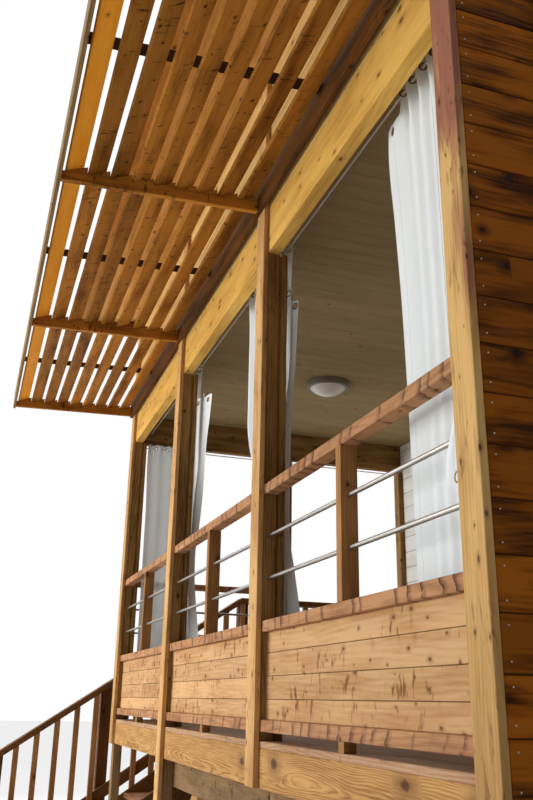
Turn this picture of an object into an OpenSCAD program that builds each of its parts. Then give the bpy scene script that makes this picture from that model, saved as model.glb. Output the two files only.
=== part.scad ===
// Timber cabin on stilts with a covered front porch, a slatted awning and a side stair.
// X runs along the long front, -Y is the front, +Z is up, and Z = 0 is the ground.
// Heights above the porch deck are named values that start from deck_h.

/* [Main sizes] */
// Height of the porch deck above the ground
deck_h = 1435; // [1000:5:2200]
// Distance from one front post to the next
bay_pitch = 1812; // [1500:1:2200]
// Number of bays along the front
bays = 3; // [2:1:4]
// Depth of the covered porch, from the front trims to the room's wall
porch_d = 2670; // [2000:10:3200]
// Depth of the closed room behind the porch
room_d = 2900; // [2000:10:3600]
// Slope of the roof in degrees
roof_pitch = 12; // [6:1:20]

/* [Front posts] */
// Width of the flat trim boards on the posts
trim_w = 115; // [90:1:150]
// Thickness of the trim boards
trim_t = 26; // [18:1:35]
// Depth of the posts behind the trims
post_d = 66; // [50:1:120]
// Step from the trim's edge back to the post's side
post_step = 10; // [4:1:20]
// Depth of the dark groove behind the posts
groove_d = 11; // [6:1:20]
// How far the end wall's face stands back from the trim's edge
face_step = 2; // [0:1:6]

/* [Header and ceiling] */
// Height of the header's underside above the deck
header_z = 2310; // [2100:5:2500]
// Depth of the header beam
header_h = 255; // [180:5:300]
// Thickness of the ceiling boards
ceiling_t = 20; // [12:1:30]
// Height of the roof's underside above the header, at the front
eaves_rise = 1035; // [900:5:1150]

/* [Parapet] */
// Thickness of the rails and the handrail
rail_t = 48; // [35:1:60]
// Height of the bottom rail's underside above the deck
rail_z = 37; // [20:1:80]
// Height of the cap's top above the deck
cap_z = 489; // [400:1:700]
// Height of the handrail's top above the deck
hand_z = 1100; // [1000:5:1200]
// Setback of the parapet boards from the rails' front
board_step = 27; // [10:1:40]
// Thickness of the parapet boards
board_t = 22; // [15:1:30]
// Width of the middle baluster
baluster_w = 45; // [35:1:70]
// Diameter of the steel guard rods
rod_d = 18; // [10:1:25]
// Height of the lower guard rod above the deck
rod_low_z = 675; // [600:5:720]
// Height of the upper guard rod above the deck
rod_high_z = 865; // [780:5:950]

/* [Left end] */
// Width of the two posts beside the way in
jamb_w = 95; // [75:1:130]
// Thickness of the one that stands against the room's wall
jamb_t = 50; // [30:1:66]
// Distance of the way in from the front trims
jamb_y = 1430; // [1300:5:1500]

/* [Deck frame] */
// Thickness of the deck boards and the room's floor
deck_t = 26; // [20:1:40]
// Depth of the joists and the deck's fascia boards
joist_h = 154; // [120:1:220]
// Thickness of joists, bearers and stringers
joist_t = 45; // [35:1:60]
// Largest distance from one joist to the next
joist_pitch = 620; // [400:10:700]
// Depth of the bearers under the joists
bearer_h = 155; // [120:1:220]
// Side of the square stilts
stilt_w = 90; // [75:1:94]
// How far the second post's stilt reaches left of the trim's right edge
stilt_left = 50; // [30:1:90]
// Height of the knee braces' inner corner below the bearer
brace_rise = 560; // [400:10:700]
// Width of the knee braces
brace_w = 90; // [70:1:120]

/* [Awning] */
// Depth of the notched rafters, from the ledger to the edge board
awning_d = 1002; // [800:1:1300]
// Fall of the rafters towards the edge board in degrees
awning_fall = 2; // [0:0.5:4]
// Gap between the edge board and the first notch
edge_gap = 13; // [5:1:30]
// Number of slats
slat_n = 9; // [7:1:11]
// Width of a slat
slat_w = 90; // [70:1:100]
// Thickness of a slat
slat_t = 20; // [15:1:28]
// Tilt of the slats in degrees, with the outer edge lower
slat_tilt = 22; // [10:1:30]
// Height of a rafter below its notches
rafter_h = 50; // [40:1:75]
// Thickness of the awning rafters
rafter_t = 30; // [25:1:50]
// Width of the battens that lie on the slats
batten_w = 50; // [30:1:70]
// How far the battens lie left of the middle between two posts
batten_off = 36; // [0:1:100]
// Height of the ledger board
ledger_h = 145; // [120:5:180]
// Thickness of the ledger board and the battens
ledger_t = 24; // [18:1:40]
// Height of the edge board
edge_h = 150; // [110:5:180]
// How far the ledger hangs below the top of the header
ledger_drop = 5; // [0:1:20]

/* [Walls] */
// Thickness of the walls behind their outer boards
wall_core = 70; // [50:1:120]
// Thickness of the outer boards
clad_t = 22; // [15:1:30]
// Distance of the right end's cover strip from the front trims
strip_y = 324; // [200:1:500]
// Width of the cover strips
strip_w = 90; // [60:1:120]

/* [Windows and door] */
// Width of the window openings
window_w = 600; // [400:10:620]
// Height of the window openings
window_h = 900; // [600:10:1100]
// Height of the window sills above the floor
sill_z = 950; // [800:10:1100]
// Distance of the porch window from the right end
porch_window_x = 1650; // [1200:10:2000]
// Distance of the back windows from the two ends
back_window_x = 1380; // [700:10:1900]
// Distance of the door from the right end
door_x = 3440; // [3000:10:4200]
// Width of the door opening
door_w = 860; // [760:10:1000]
// Height of the door opening
door_h = 2040; // [1950:10:2150]
// Thickness of the door's leaf
leaf_t = 44; // [35:1:44]
// Width of the leaf's upright edges
stile_w = 110; // [80:5:140]
// Height of the leaf's glazing above the floor
door_glass_z = 900; // [700:10:1100]
// Width of window and door frame members
frame_w = 45; // [30:1:70]
// Width of the casings around the frames
casing_w = 70; // [40:1:100]
// Thickness of the casings
casing_t = 18; // [12:1:24]
// Thickness of the glazing
glass_t = 8; // [5:1:24]

/* [Roof] */
// Thickness of a roof slope
roof_t = 70; // [50:1:120]
// Overhang of the roof at the front
front_over = 600; // [450:10:680]
// Overhang of the roof at the back
back_over = 300; // [150:10:450]
// Overhang of the roof at the ends
verge_over = 150; // [80:10:300]
// Height of the barge boards and the eaves boards
barge_h = 150; // [110:5:160]
// Width of the ridge cap's legs
ridge_leg = 120; // [80:5:180]
// Thickness of the ridge cap
ridge_t = 8; // [4:1:15]

/* [Stair] */
// Largest rise of one step
riser_max = 205; // [170:1:220]
// Going of one step
going = 313; // [240:1:330]
// Clear width between the stringers
stair_w = 655; // [600:5:1000]
// Gap between the stair and the porch
stair_gap = 16; // [5:1:40]
// Depth of a tread
tread_d = 300; // [240:1:320]
// Thickness of a tread
tread_t = 40; // [30:1:60]
// Front of the landing, behind the front trims
landing_y = 1215; // [1000:5:1300]
// Gap between the landing's boards and the porch deck
landing_gap = 10; // [4:1:20]
// Depth of the stringer boards, square to the slope
stringer_h = 240; // [200:5:300]
// Length cut off the stringers' pointed feet
toe = 60; // [30:5:120]

/* [Stair rails] */
// Height of the handrail above the line of the nosings
stair_rail = 1040; // [900:5:1090]
// Width of the stair's flat handrail
hand_w = 145; // [120:1:180]
// Depth of the lower rail, square to the slope
low_rail_h = 92; // [60:1:120]
// Height of the lower rail above the line of the nosings
low_rail_gap = 65; // [30:1:120]
// Width of the balusters
stair_baluster = 45; // [30:1:60]
// Spacing of the balusters
baluster_pitch = 163; // [110:1:200]
// Side of the newel posts
newel_w = 95; // [75:1:120]
// Distance of the stair's middle newel from the front trims
newel_y = 35; // [0:5:100]
// Clear gap between the middle newel and the baluster below it
newel_gap = 27; // [10:1:60]
// Clear gap between the middle newel and the baluster above it
newel_gap_up = 192; // [60:1:220]

/* [Curtains] */
// Diameter of the curtain rods
curtain_rod_d = 9; // [6:1:20]
// Distance of the long rod from the front trims
curtain_y = 170; // [165:1:220]
// Height of the long rod above the header's underside
curtain_rise = 99; // [40:1:130]
// Drop of the side rod below the header
side_rod_drop = 40; // [20:1:100]
// Thickness of the gathered curtains
curtain_t = 60; // [40:1:70]
// Clearance of the hems above the deck
hem_gap = 8; // [5:1:40]
// Height of the curtains' heads above the rod
curtain_head = 38; // [15:1:60]
// Width of the curtain drawn to the right of each bay
curtain_wide = 625; // [400:5:700]
// Gap between that curtain and the post
curtain_gap = 15; // [5:1:60]
// Width of the narrow curtain behind the second post
bunch_first = 100; // [80:5:250]
// Width of the narrow curtain behind the third post
bunch_next = 180; // [80:5:250]
// How far the narrow curtains hide behind their posts
curtain_tuck = 70; // [40:5:75]
// Height of the blocks that carry the rod
bracket_h = 28; // [24:1:40]
// Width of those blocks
bracket_w = 24; // [12:1:26]

/* [Ceiling lamps] */
// Diameter of a lamp
lamp_d = 345; // [250:5:380]
// Depth of a lamp's base
lamp_base_t = 45; // [20:1:60]
// Depth of a lamp's domed cover
lamp_dome_t = 60; // [40:1:90]
// Width of the base's rim around the cover
lamp_rim = 33; // [15:1:45]
// Distance of the lamps from the front trims
lamp_y = 1305; // [800:5:1900]
// Distance of each lamp from the middle of the porch
lamp_x = 1305; // [1000:5:2000]

/* [Hidden] */
WOOD_WARM = "#c98f4e";
WOOD_YELLOW = "#d7a55a";
WOOD_RED = "#a9673f";
WOOD_DARK = "#5a3418";
WOOD_GREY = "#8d7560";
WHITE_PAINT = "#e9e6df";
ROOF_GREY = "#4d4a45";

// Main lengths, and the lines of the plan from the front trims to the back
front_len = bays * bay_pitch + trim_w;
post_y = trim_t;
post_back = post_y + post_d;
rail_mid_y = (post_y + post_back) / 2;
inner_y = post_back + groove_d;
inner_back = inner_y + trim_t;
wall_t = wall_core + clad_t;
room_y = porch_d;
room_in_y = room_y + wall_t;
back_y = room_y + room_d;
floor_back = back_y - clad_t;
core_back = floor_back - wall_core;
ridge_y = (post_y + back_y) / 2;
// Lines of the plan across the front: outer faces, and the faces of the right wall's core
left_x = -front_len + post_step;
face_x = -face_step;
core_x = face_x - clad_t;
inner_x = core_x - wall_core;
porch_left = left_x + post_d;
// Heights above the ground
joist_top = deck_h - deck_t;
joist_bottom = joist_top - joist_h;
bearer_bottom = joist_bottom - bearer_h;
header_bottom = deck_h + header_z;
header_top = header_bottom + header_h;
eaves_top = header_top + eaves_rise;
hand_top = deck_h + hand_z;
hand_under = hand_top - rail_t;
cap_under = deck_h + cap_z - rail_t;
rail_top = deck_h + rail_z + rail_t;
sill_top = deck_h + sill_z;
// Underside and top of the roof at any Y
function roof_under(y) = eaves_top + (ridge_y - post_y - abs(y - ridge_y)) * tan(roof_pitch);
function roof_over(y) = roof_under(y) + roof_t / cos(roof_pitch);
front_eave = post_y - front_over;
back_eave = back_y + back_over;
roof_x = -front_len - verge_over;
roof_len = front_len + 2 * verge_over;
// Awning: heights at the ledger, from which everything falls towards the edge board
rafter_z = header_top - ledger_drop;
slat_seat = rafter_z + rafter_h;
slat_pitch = (awning_d - edge_gap) / slat_n;
awning_out = -ledger_t - awning_d;
edge_out = awning_out - slat_t;
function fall(y) = (y + ledger_t) * tan(awning_fall);
function slat_y(k) = awning_out + edge_gap + k * slat_pitch;
function slat_z(k) = slat_seat + fall(slat_y(k));
// Upper edge of a slat, measured from its notch
slat_shift = slat_t * tan(slat_tilt) + 1;
slat_reach = slat_shift + slat_w;
slat_edge_y = slat_reach * cos(slat_tilt) - slat_t * sin(slat_tilt);
slat_edge_z = slat_reach * sin(slat_tilt) + slat_t * cos(slat_tilt);
batten_z = slat_seat + slat_edge_z - slat_edge_y * tan(awning_fall);
// Stilts: three rows, the back two of them under the room's walls
stilt_rows = [room_y, floor_back - stilt_w];
joist_x = left_x + clad_t;
joist_n = ceil((core_x - joist_x - joist_t) / joist_pitch);
// Stair
steps = ceil(deck_h / riser_max);
riser = deck_h / steps;
slope = riser / going;
slope_deg = atan(slope);
stair_in = left_x - stair_gap - joist_t;
stair_out = stair_in - stair_w;
stair_edge = stair_out - joist_t;
landing_x = stair_edge - joist_t;
foot_y = landing_y - steps * going;
stair_y = foot_y + toe;
function nosing_z(y) = deck_h + (y - landing_y) * slope;
function stand_z(y) = min(nosing_z(y), deck_h);
// Stair rails: the handrail levels out above the landing
hand_rise = rail_t / cos(slope_deg);
function slant_top(y) = min(nosing_z(y) + stair_rail, hand_top);
function slant_under(y) = min(nosing_z(y) + stair_rail - hand_rise, hand_under);
flat_y = landing_y + (hand_z - stair_rail) / slope;
flat_under_y = landing_y + (hand_z - rail_t - stair_rail + hand_rise) / slope;
low_rise = low_rail_h / cos(slope_deg);
newel_x = landing_x - newel_w;
foot_newel_y = stair_y + toe;
baluster_low = newel_y - newel_gap - stair_baluster;
baluster_high = newel_y + newel_w + newel_gap_up;
low_n = floor((baluster_low - foot_newel_y - newel_w) / baluster_pitch);
high_n = floor((room_y - newel_w - stair_baluster - baluster_high) / baluster_pitch);
baluster_ys = concat([for (k = [0 : low_n]) baluster_low - k * baluster_pitch],
    [for (k = [0 : high_n]) baluster_high + k * baluster_pitch]);
landing_len = left_x - landing_x;
landing_n = round((left_x - stair_out) / baluster_pitch) - 1;
// Middles of the windows, the side panel and the lamps
window_y = (room_in_y + core_back) / 2;
back_windows = [-back_window_x, -front_len + back_window_x];
side_mid = (inner_back + jamb_y) / 2;
glass_w = door_w - 2 * frame_w - 2 * stile_w;
leaf_top = deck_h + door_h - frame_w;
curtain_z = header_bottom + curtain_rise;
lamp_places = [-front_len / 2 - lamp_x, -front_len / 2 + lamp_x];
dome_in = lamp_d / 2 - lamp_rim;
dome_r = (dome_in * dome_in + lamp_dome_t * lamp_dome_t) / (2 * lamp_dome_t);
dome_angle = asin(dome_in / dome_r);
dome_steps = 10;
// The origin is on the ground, below the middle of the whole outline
x_low = min(newel_x, roof_x - clad_t);
x_high = verge_over + clad_t;
y_low = min(edge_out, stair_y);
y_high = back_eave + clad_t;
mid_x = (x_low + x_high) / 2;
mid_y = (y_low + y_high) / 2;

module set_down() translate([-mid_x, -mid_y, 0]) children();
// A block from one corner to the opposite one
module block(a, b) translate(a) cube([b[0] - a[0], b[1] - a[1], b[2] - a[2]]);
// A profile drawn in Y and Z, extruded along +X from x
module along_x(x, len) translate([x, 0, 0]) rotate([90, 0, 90]) linear_extrude(len) children();
// A profile drawn in X and Z, extruded along +Y from y
module along_y(y, len) translate([0, y + len, 0]) rotate([90, 0, 0]) linear_extrude(len) children();
module rod_x(x, len, y, z, d) translate([x, y, z]) rotate([0, 90, 0]) cylinder(d = d, h = len, $fn = 32);
module rod_y(x, y, len, z, d) translate([x, y, z]) rotate([-90, 0, 0]) cylinder(d = d, h = len, $fn = 32);
// Right and left sides of post number i, and the clear span of bay number i
function trim_right(i) = -i * bay_pitch;
function post_right(i) = i == 0 ? core_x : trim_right(i) - post_step;
function post_left(i) = trim_right(i) - trim_w + post_step;
function span_low(i) = post_right(i + 1);
function span_high(i) = post_left(i);
function span_mid(i) = (span_low(i) + span_high(i)) / 2;
// Only the second post is carried by a stilt of its own, set behind it
function stilt_x(i) = i == 1 ? trim_right(i) - stilt_left : i == 0 ? core_x - stilt_w : post_left(i);

// The second and the last trim start at the fascia and the others on the ground, and all end under the roof
module front_trims() color(WOOD_WARM) set_down()
    for (i = [0 : bays])
        block([trim_right(i) - trim_w, 0, i == 1 || i == bays ? joist_bottom : 0],
            [trim_right(i), trim_t, roof_under(0)]);

// Inner trims stand off the posts on packers, which leaves a dark groove
module inner_trims() color(WOOD_GREY) set_down() {
    for (i = [1 : bays])
        translate([0, 0, deck_h])
            linear_extrude(header_z)
                union() {
                    translate([post_left(i) + post_step, post_back])
                        square([post_right(i) - post_left(i) - 2 * post_step, groove_d]);
                    translate([post_left(i) - post_step, inner_y])
                        square([trim_w, trim_t]);
                }
    block([-trim_w, post_back, deck_h], [inner_x, inner_back, header_bottom]);
}

// Four posts along the front, and two beside the way in: one that carries the header, one flat on the wall
module posts() color(WOOD_GREY) set_down() {
    for (i = [0 : bays])
        block([post_left(i), post_y, deck_h], [post_right(i), post_back, header_bottom]);
    block([left_x, jamb_y, deck_h], [porch_left, jamb_y + jamb_w, header_bottom]);
    block([left_x, room_y - jamb_t, deck_h], [left_x + jamb_w, room_y, header_bottom]);
}

module header_front() color(WOOD_YELLOW) set_down()
    block([left_x, post_y, header_bottom], [core_x, post_back, header_top]);

module header_left() color(WOOD_YELLOW) set_down()
    block([left_x, post_back, header_bottom], [porch_left, room_y, header_top]);

// The front wall above the header, up to the roof
module front_upper_wall() color(WOOD_WARM) set_down()
    along_x(left_x, core_x - left_x)
        polygon([[post_y, header_top], [post_back, header_top],
            [post_back, roof_under(post_back)], [post_y, roof_under(post_y)]]);

module awning_ledger() color(WOOD_RED) set_down()
    block([-front_len, -ledger_t, rafter_z], [0, 0, rafter_z + ledger_h]);

// The top of each rafter is cut into notches, and each slat lies on one of them
module awning_rafters() color(WOOD_WARM) set_down()
    for (i = [0 : bays])
        along_x(trim_right(i) - (trim_w + rafter_t) / 2, rafter_t)
            polygon(concat(
                [[awning_out, rafter_z + fall(awning_out)], [awning_out, slat_z(0)]],
                [for (k = [0 : slat_n - 1]) each [
                    [slat_y(k), slat_z(k)],
                    [slat_y(k + 1), slat_z(k) + slat_pitch * tan(slat_tilt)]]],
                [[-ledger_t, rafter_z]]));

module awning_slats() color(WOOD_WARM) set_down()
    for (k = [0 : slat_n - 1])
        along_x(-front_len, front_len)
            translate([slat_y(k), slat_z(k)])
                rotate(slat_tilt)
                    translate([slat_shift, 0])
                        square([slat_w, slat_t]);

// Battens lie on the slats' upper edges, from the ledger to the edge board
module awning_battens() color(WOOD_RED) set_down()
    for (i = [0 : bays - 1])
        along_x(span_mid(i) - batten_off - batten_w / 2, batten_w)
            let (z = batten_z + fall(awning_out))
                polygon([[awning_out, z], [-ledger_t, batten_z],
                    [-ledger_t, batten_z + ledger_t], [awning_out, z + ledger_t]]);

module awning_edge_board() color(WOOD_WARM) set_down()
    let (z = rafter_z + fall(awning_out))
        block([-front_len, edge_out, z], [0, awning_out, z + edge_h]);

// A member of the rail between two front posts, and one of the rail at the left end
module bay_block(i, y0, y1, z0, z1) block([span_low(i), y0, z0], [span_high(i), y1, z1]);
module side_block(x0, x1, z0, z1) block([left_x + x0, inner_back, z0], [left_x + x1, jamb_y, z1]);

module handrails() color(WOOD_RED) set_down() {
    for (i = [0 : bays - 1])
        bay_block(i, post_y, post_back, hand_under, hand_top);
    side_block(0, post_d, hand_under, hand_top);
}

// Caps above the parapet boards, and bottom rails below them
module parapet_rails() color(WOOD_RED) set_down()
    for (z = [cap_under, deck_h + rail_z]) {
        for (i = [0 : bays - 1])
            bay_block(i, post_y, post_back, z, z + rail_t);
        side_block(0, post_d, z, z + rail_t);
    }

module parapets() color(WOOD_WARM) set_down() {
    for (i = [0 : bays - 1])
        bay_block(i, post_y + board_step, post_y + board_step + board_t, rail_top, cap_under);
    side_block(board_step, board_step + board_t, rail_top, cap_under);
}

module guard_rods() color("silver") set_down()
    for (z = [rod_low_z, rod_high_z]) {
        for (i = [0 : bays - 1])
            rod_x(span_low(i), span_high(i) - span_low(i), rail_mid_y, deck_h + z, rod_d);
        rod_y(left_x + post_d / 2, inner_back, jamb_y - inner_back, deck_h + z, rod_d);
    }

// Balusters are bored for the rods, and a block below each carries the bottom rail
module balusters() color(WOOD_WARM) set_down() {
    for (i = [0 : bays - 1]) {
        difference() {
            block([span_mid(i) - baluster_w / 2, post_y, deck_h + cap_z],
                [span_mid(i) + baluster_w / 2, post_back, hand_under]);
            for (z = [rod_low_z, rod_high_z])
                rod_x(span_mid(i) - baluster_w, 2 * baluster_w, rail_mid_y, deck_h + z, rod_d);
        }
        block([span_mid(i) - baluster_w / 2, post_y, deck_h],
            [span_mid(i) + baluster_w / 2, post_y + baluster_w, deck_h + rail_z]);
    }
    difference() {
        block([left_x, side_mid - baluster_w / 2, deck_h + cap_z],
            [porch_left, side_mid + baluster_w / 2, hand_under]);
        for (z = [rod_low_z, rod_high_z])
            rod_y(left_x + post_d / 2, side_mid - baluster_w, 2 * baluster_w, deck_h + z, rod_d);
    }
    block([left_x, side_mid - baluster_w / 2, deck_h],
        [left_x + baluster_w, side_mid + baluster_w / 2, deck_h + rail_z]);
}

// One floor runs through porch and room, and the landing beside it has its own
module decks() color(WOOD_GREY) set_down() {
    block([left_x, post_y, joist_top], [core_x, room_y, deck_h]);
    block([joist_x, room_y, joist_top], [core_x, floor_back, deck_h]);
    block([landing_x, landing_y, joist_top], [left_x - landing_gap, room_y, deck_h]);
}

// Joists lie between the fascia boards, and a box of the same boards carries the landing
module joists() color(WOOD_GREY) set_down() {
    for (k = [0 : joist_n])
        let (x = joist_x + k * (core_x - joist_x - joist_t) / joist_n)
            block([x, post_y + joist_t, joist_bottom], [x + joist_t, floor_back - joist_t, joist_top]);
    let (cell = (landing_len - 3 * joist_t) / 2)
        difference() {
            block([landing_x, landing_y, joist_bottom], [left_x, room_y, joist_top]);
            for (x = [landing_x + joist_t, left_x - joist_t - cell])
                block([x, landing_y + joist_t, joist_bottom - 1], [x + cell, room_y - joist_t, joist_top + 1]);
        }
}

// Two front lengths meet at the second post's stilt, and two whole bearers lie behind
module bearers() color(WOOD_GREY) set_down() {
    block([stilt_x(2), post_back, bearer_bottom], [stilt_x(1), post_back + joist_t, joist_bottom]);
    block([stilt_x(1) + stilt_w, post_back, bearer_bottom], [core_x, post_back + joist_t, joist_bottom]);
    for (y = stilt_rows)
        block([left_x, y + (stilt_w - joist_t) / 2, bearer_bottom],
            [core_x, y + (stilt_w + joist_t) / 2, joist_bottom]);
}

module stilts() color(WOOD_GREY) set_down()
    for (i = [0 : bays]) {
        if (i == 1)
            block([stilt_x(i), post_back, 0], [stilt_x(i) + stilt_w, post_back + stilt_w, joist_bottom]);
        else
            block([post_left(i), post_y, 0], [post_right(i), post_back, joist_bottom]);
        for (y = stilt_rows)
            block([stilt_x(i), y, 0], [stilt_x(i) + stilt_w, y + stilt_w, bearer_bottom]);
    }

// Braces at 45 degrees, cut level under the bearer and plumb at the post
module knee_braces() color(WOOD_YELLOW) set_down()
    for (i = [0, 2])
        along_y(post_back, joist_t)
            let (side = i == 0 ? -1 : 1, x = i == 0 ? post_right(i) : post_left(i), w = brace_w * sqrt(2))
                polygon([[x, bearer_bottom - brace_rise - w], [x, bearer_bottom - brace_rise],
                    [x + side * brace_rise, bearer_bottom], [x + side * (brace_rise + w), bearer_bottom]]);

// Boards that close the deck at the front and back, and the roof's two eaves
module fascia_boards() color(WOOD_YELLOW) set_down() {
    block([left_x, post_y, joist_bottom], [core_x, post_y + joist_t, joist_top]);
    block([joist_x, floor_back - joist_t, joist_bottom], [core_x, floor_back, joist_top]);
    for (e = [[front_eave, front_eave - clad_t], [back_eave, back_eave]])
        block([roof_x, e[1], roof_over(e[0]) - barge_h],
            [roof_x + roof_len, e[1] + clad_t, roof_over(e[0])]);
}

// Side view of a wall from y0 to y1 that stands at z0 and ends under the roof
module roofed(y0, y1, z0)
    polygon(concat([[y0, z0], [y1, z0], [y1, roof_under(y1)]],
        y0 < ridge_y && y1 > ridge_y ? [[ridge_y, roof_under(ridge_y)]] : [],
        [[y0, roof_under(y0)]]));
// A wall along Y: outer boards from skin_x, and its core from core_lo
module end_wall(skin_x, core_lo, y0, core_y0) {
    along_x(skin_x, clad_t) roofed(y0, back_y, joist_bottom);
    along_x(core_lo, wall_core) roofed(core_y0, floor_back, deck_h);
}
// Opening through a wall along Y, and through one along X
module hole_x(x, y_mid) block([x - wall_t, y_mid - window_w / 2, sill_top],
    [x + 2 * wall_t, y_mid + window_w / 2, sill_top + window_h]);
module hole_y(x_mid, y) block([x_mid - window_w / 2, y - wall_t, sill_top],
    [x_mid + window_w / 2, y + 2 * wall_t, sill_top + window_h]);

module right_wall() color(WOOD_DARK) set_down()
    difference() {
        end_wall(core_x, inner_x, post_y, post_back);
        hole_x(inner_x, window_y);
    }

// The left wall's boards run on over the header as the porch's gable
module left_wall() color(WOOD_DARK) set_down()
    difference() {
        union() {
            end_wall(left_x, joist_x, room_y, room_in_y);
            along_x(left_x, post_d) roofed(post_back, room_y, header_top);
        }
        hole_x(left_x, window_y);
    }

module back_wall() color(WOOD_DARK) set_down()
    difference() {
        union() {
            along_x(joist_x, core_x - joist_x) roofed(floor_back, back_y, joist_bottom);
            along_x(left_x + wall_t, inner_x - left_x - wall_t) roofed(core_back, floor_back, deck_h);
        }
        for (x = back_windows)
            hole_y(x, core_back);
    }

module porch_wall() color(WHITE_PAINT) set_down()
    difference() {
        along_x(joist_x, inner_x - joist_x) roofed(room_y, room_in_y, deck_h);
        hole_y(-porch_window_x, room_y);
        block([-door_x - door_w / 2, room_y - wall_t, deck_h - 1],
            [-door_x + door_w / 2, room_in_y + wall_t, deck_h + door_h]);
    }

// The leaf has a glazed upper panel, cut through it
module porch_door() color(WHITE_PAINT) set_down()
    difference() {
        block([-door_x - door_w / 2 + frame_w, room_y + wall_t / 2, deck_h],
            [-door_x + door_w / 2 - frame_w, room_y + wall_t / 2 + leaf_t, leaf_top]);
        block([-door_x - glass_w / 2, room_y, deck_h + door_glass_z],
            [-door_x + glass_w / 2, room_in_y, leaf_top - stile_w]);
    }

// A frame as deep as the wall, with a casing on the face at y0, and a sill when it stands off the floor
module ring_y(x_mid, z0, w, h, y0, has_sill) {
    foot = has_sill ? frame_w : -1;
    under = has_sill ? casing_w : 0;
    difference() {
        union() {
            block([x_mid - w / 2, y0, z0], [x_mid + w / 2, y0 + wall_t, z0 + h]);
            block([x_mid - w / 2 - casing_w, y0 - casing_t, z0 - under],
                [x_mid + w / 2 + casing_w, y0, z0 + h + casing_w]);
        }
        block([x_mid - w / 2 + frame_w, y0 - casing_t - 1, z0 + foot],
            [x_mid + w / 2 - frame_w, y0 + wall_t + 1, z0 + h - frame_w]);
    }
}

module window_frames() color(WHITE_PAINT) set_down() {
    ring_y(-porch_window_x, sill_top, window_w, window_h, room_y, true);
    ring_y(-door_x, deck_h, door_w, door_h, room_y, false);
    for (w = [[face_x, window_y, 90], [left_x, window_y, -90], [back_windows[0], back_y, 180],
            [back_windows[1], back_y, 180]])
        translate([w[0], w[1], 0]) rotate(w[2]) ring_y(0, sill_top, window_w, window_h, 0, true);
}

module pane(x, y, a) translate([x, y, sill_top + frame_w]) rotate(a)
    translate([-window_w / 2 + frame_w, -glass_t / 2, 0])
        cube([window_w - 2 * frame_w, glass_t, window_h - 2 * frame_w]);

module window_panes() color("lightblue", 0.5) set_down() {
    pane(face_x - wall_t / 2, window_y, 90);
    pane(left_x + wall_t / 2, window_y, 90);
    pane(-porch_window_x, room_y + wall_t / 2, 0);
    for (x = back_windows)
        pane(x, back_y - wall_t / 2, 0);
    let (y = room_y + (wall_t + leaf_t) / 2)
        block([-door_x - glass_w / 2, y - glass_t / 2, deck_h + door_glass_z],
            [-door_x + glass_w / 2, y + glass_t / 2, leaf_top - stile_w]);
}

// Flat strips over the joints of the boards, on the right end and at the room's corners
module cover_strips() color(WOOD_RED) set_down()
    for (s = [[face_x, strip_y], [face_x, back_y - strip_w], [left_x - trim_t, room_y],
            [left_x - trim_t, back_y - strip_w]])
        along_x(s[0], trim_t) roofed(s[1], s[1] + strip_w, joist_bottom);

module porch_ceiling() color(WOOD_GREY) set_down()
    block([porch_left, post_back, header_top], [inner_x, room_y, header_top + ceiling_t]);

// Side view of one slope, with plumb cuts at the ridge and the eaves
module slope_profile(y_eave)
    polygon([[y_eave, roof_under(y_eave)], [ridge_y, roof_under(ridge_y)],
        [ridge_y, roof_over(ridge_y)], [y_eave, roof_over(y_eave)]]);

module roof_front() color(ROOF_GREY) set_down()
    along_x(roof_x, roof_len) slope_profile(front_eave);

module roof_back() color(ROOF_GREY) set_down()
    along_x(roof_x, roof_len) slope_profile(back_eave);

// Boards that close the ends of the roof, cut as one chevron each
module barge_boards() color(WOOD_DARK) set_down()
    for (x = [roof_x - clad_t, roof_x + roof_len])
        along_x(x, clad_t)
            polygon([for (p = [[front_eave, 0], [ridge_y, 0], [back_eave, 0],
                [back_eave, barge_h], [ridge_y, barge_h], [front_eave, barge_h]])
                    [p[0], roof_over(p[0]) - p[1] / cos(roof_pitch)]]);

module ridge_cap() color(ROOF_GREY) set_down()
    along_x(roof_x - clad_t, roof_len + 2 * clad_t)
        polygon([for (p = [[-ridge_leg, 0], [0, 0], [ridge_leg, 0],
            [ridge_leg, ridge_t], [0, ridge_t], [-ridge_leg, ridge_t]])
                [ridge_y + p[0], roof_over(ridge_y + p[0]) + p[1]]]);

module lamp_bases() color(WHITE_PAINT) set_down()
    for (x = lamp_places)
        translate([x, lamp_y, header_top - lamp_base_t])
            cylinder(d = lamp_d, h = lamp_base_t, $fn = 96);

// Shallow domes, turned from an arc that meets the base inside its rim
module lamp_domes() color("white") set_down()
    for (x = lamp_places)
        translate([x, lamp_y, header_top - lamp_base_t])
            rotate_extrude($fn = 96)
                polygon(concat([[0, 0]], [for (k = [0 : dome_steps])
                    let (a = dome_angle * (1 - k / dome_steps))
                        [dome_r * sin(a), dome_r * (cos(dome_angle) - cos(a))]]));

// A long rod behind the front posts, on a block at each middle one, and a short rod at the left end
module curtain_rods() color("white") set_down() {
    rod_x(porch_left, inner_x - porch_left, curtain_y, curtain_z, curtain_rod_d);
    rod_y(porch_left + curtain_rod_d, inner_back, room_y - jamb_t - inner_back,
        header_bottom - side_rod_drop, curtain_rod_d);
    for (i = [1 : bays - 1])
        block([post_left(i) - post_step, inner_back, curtain_z - bracket_h / 2],
            [post_left(i) - post_step + bracket_w, curtain_y + curtain_rod_d, curtain_z + bracket_h / 2]);
}

// A gathered curtain from x0 to x1, hung on the long rod
module hung(x0, x1)
    difference() {
        block([x0, curtain_y - curtain_t / 2, deck_h + hem_gap],
            [x1, curtain_y + curtain_t / 2, curtain_z + curtain_head]);
        rod_x(x0 - 1, x1 - x0 + 2, curtain_y, curtain_z, curtain_rod_d);
    }

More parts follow.
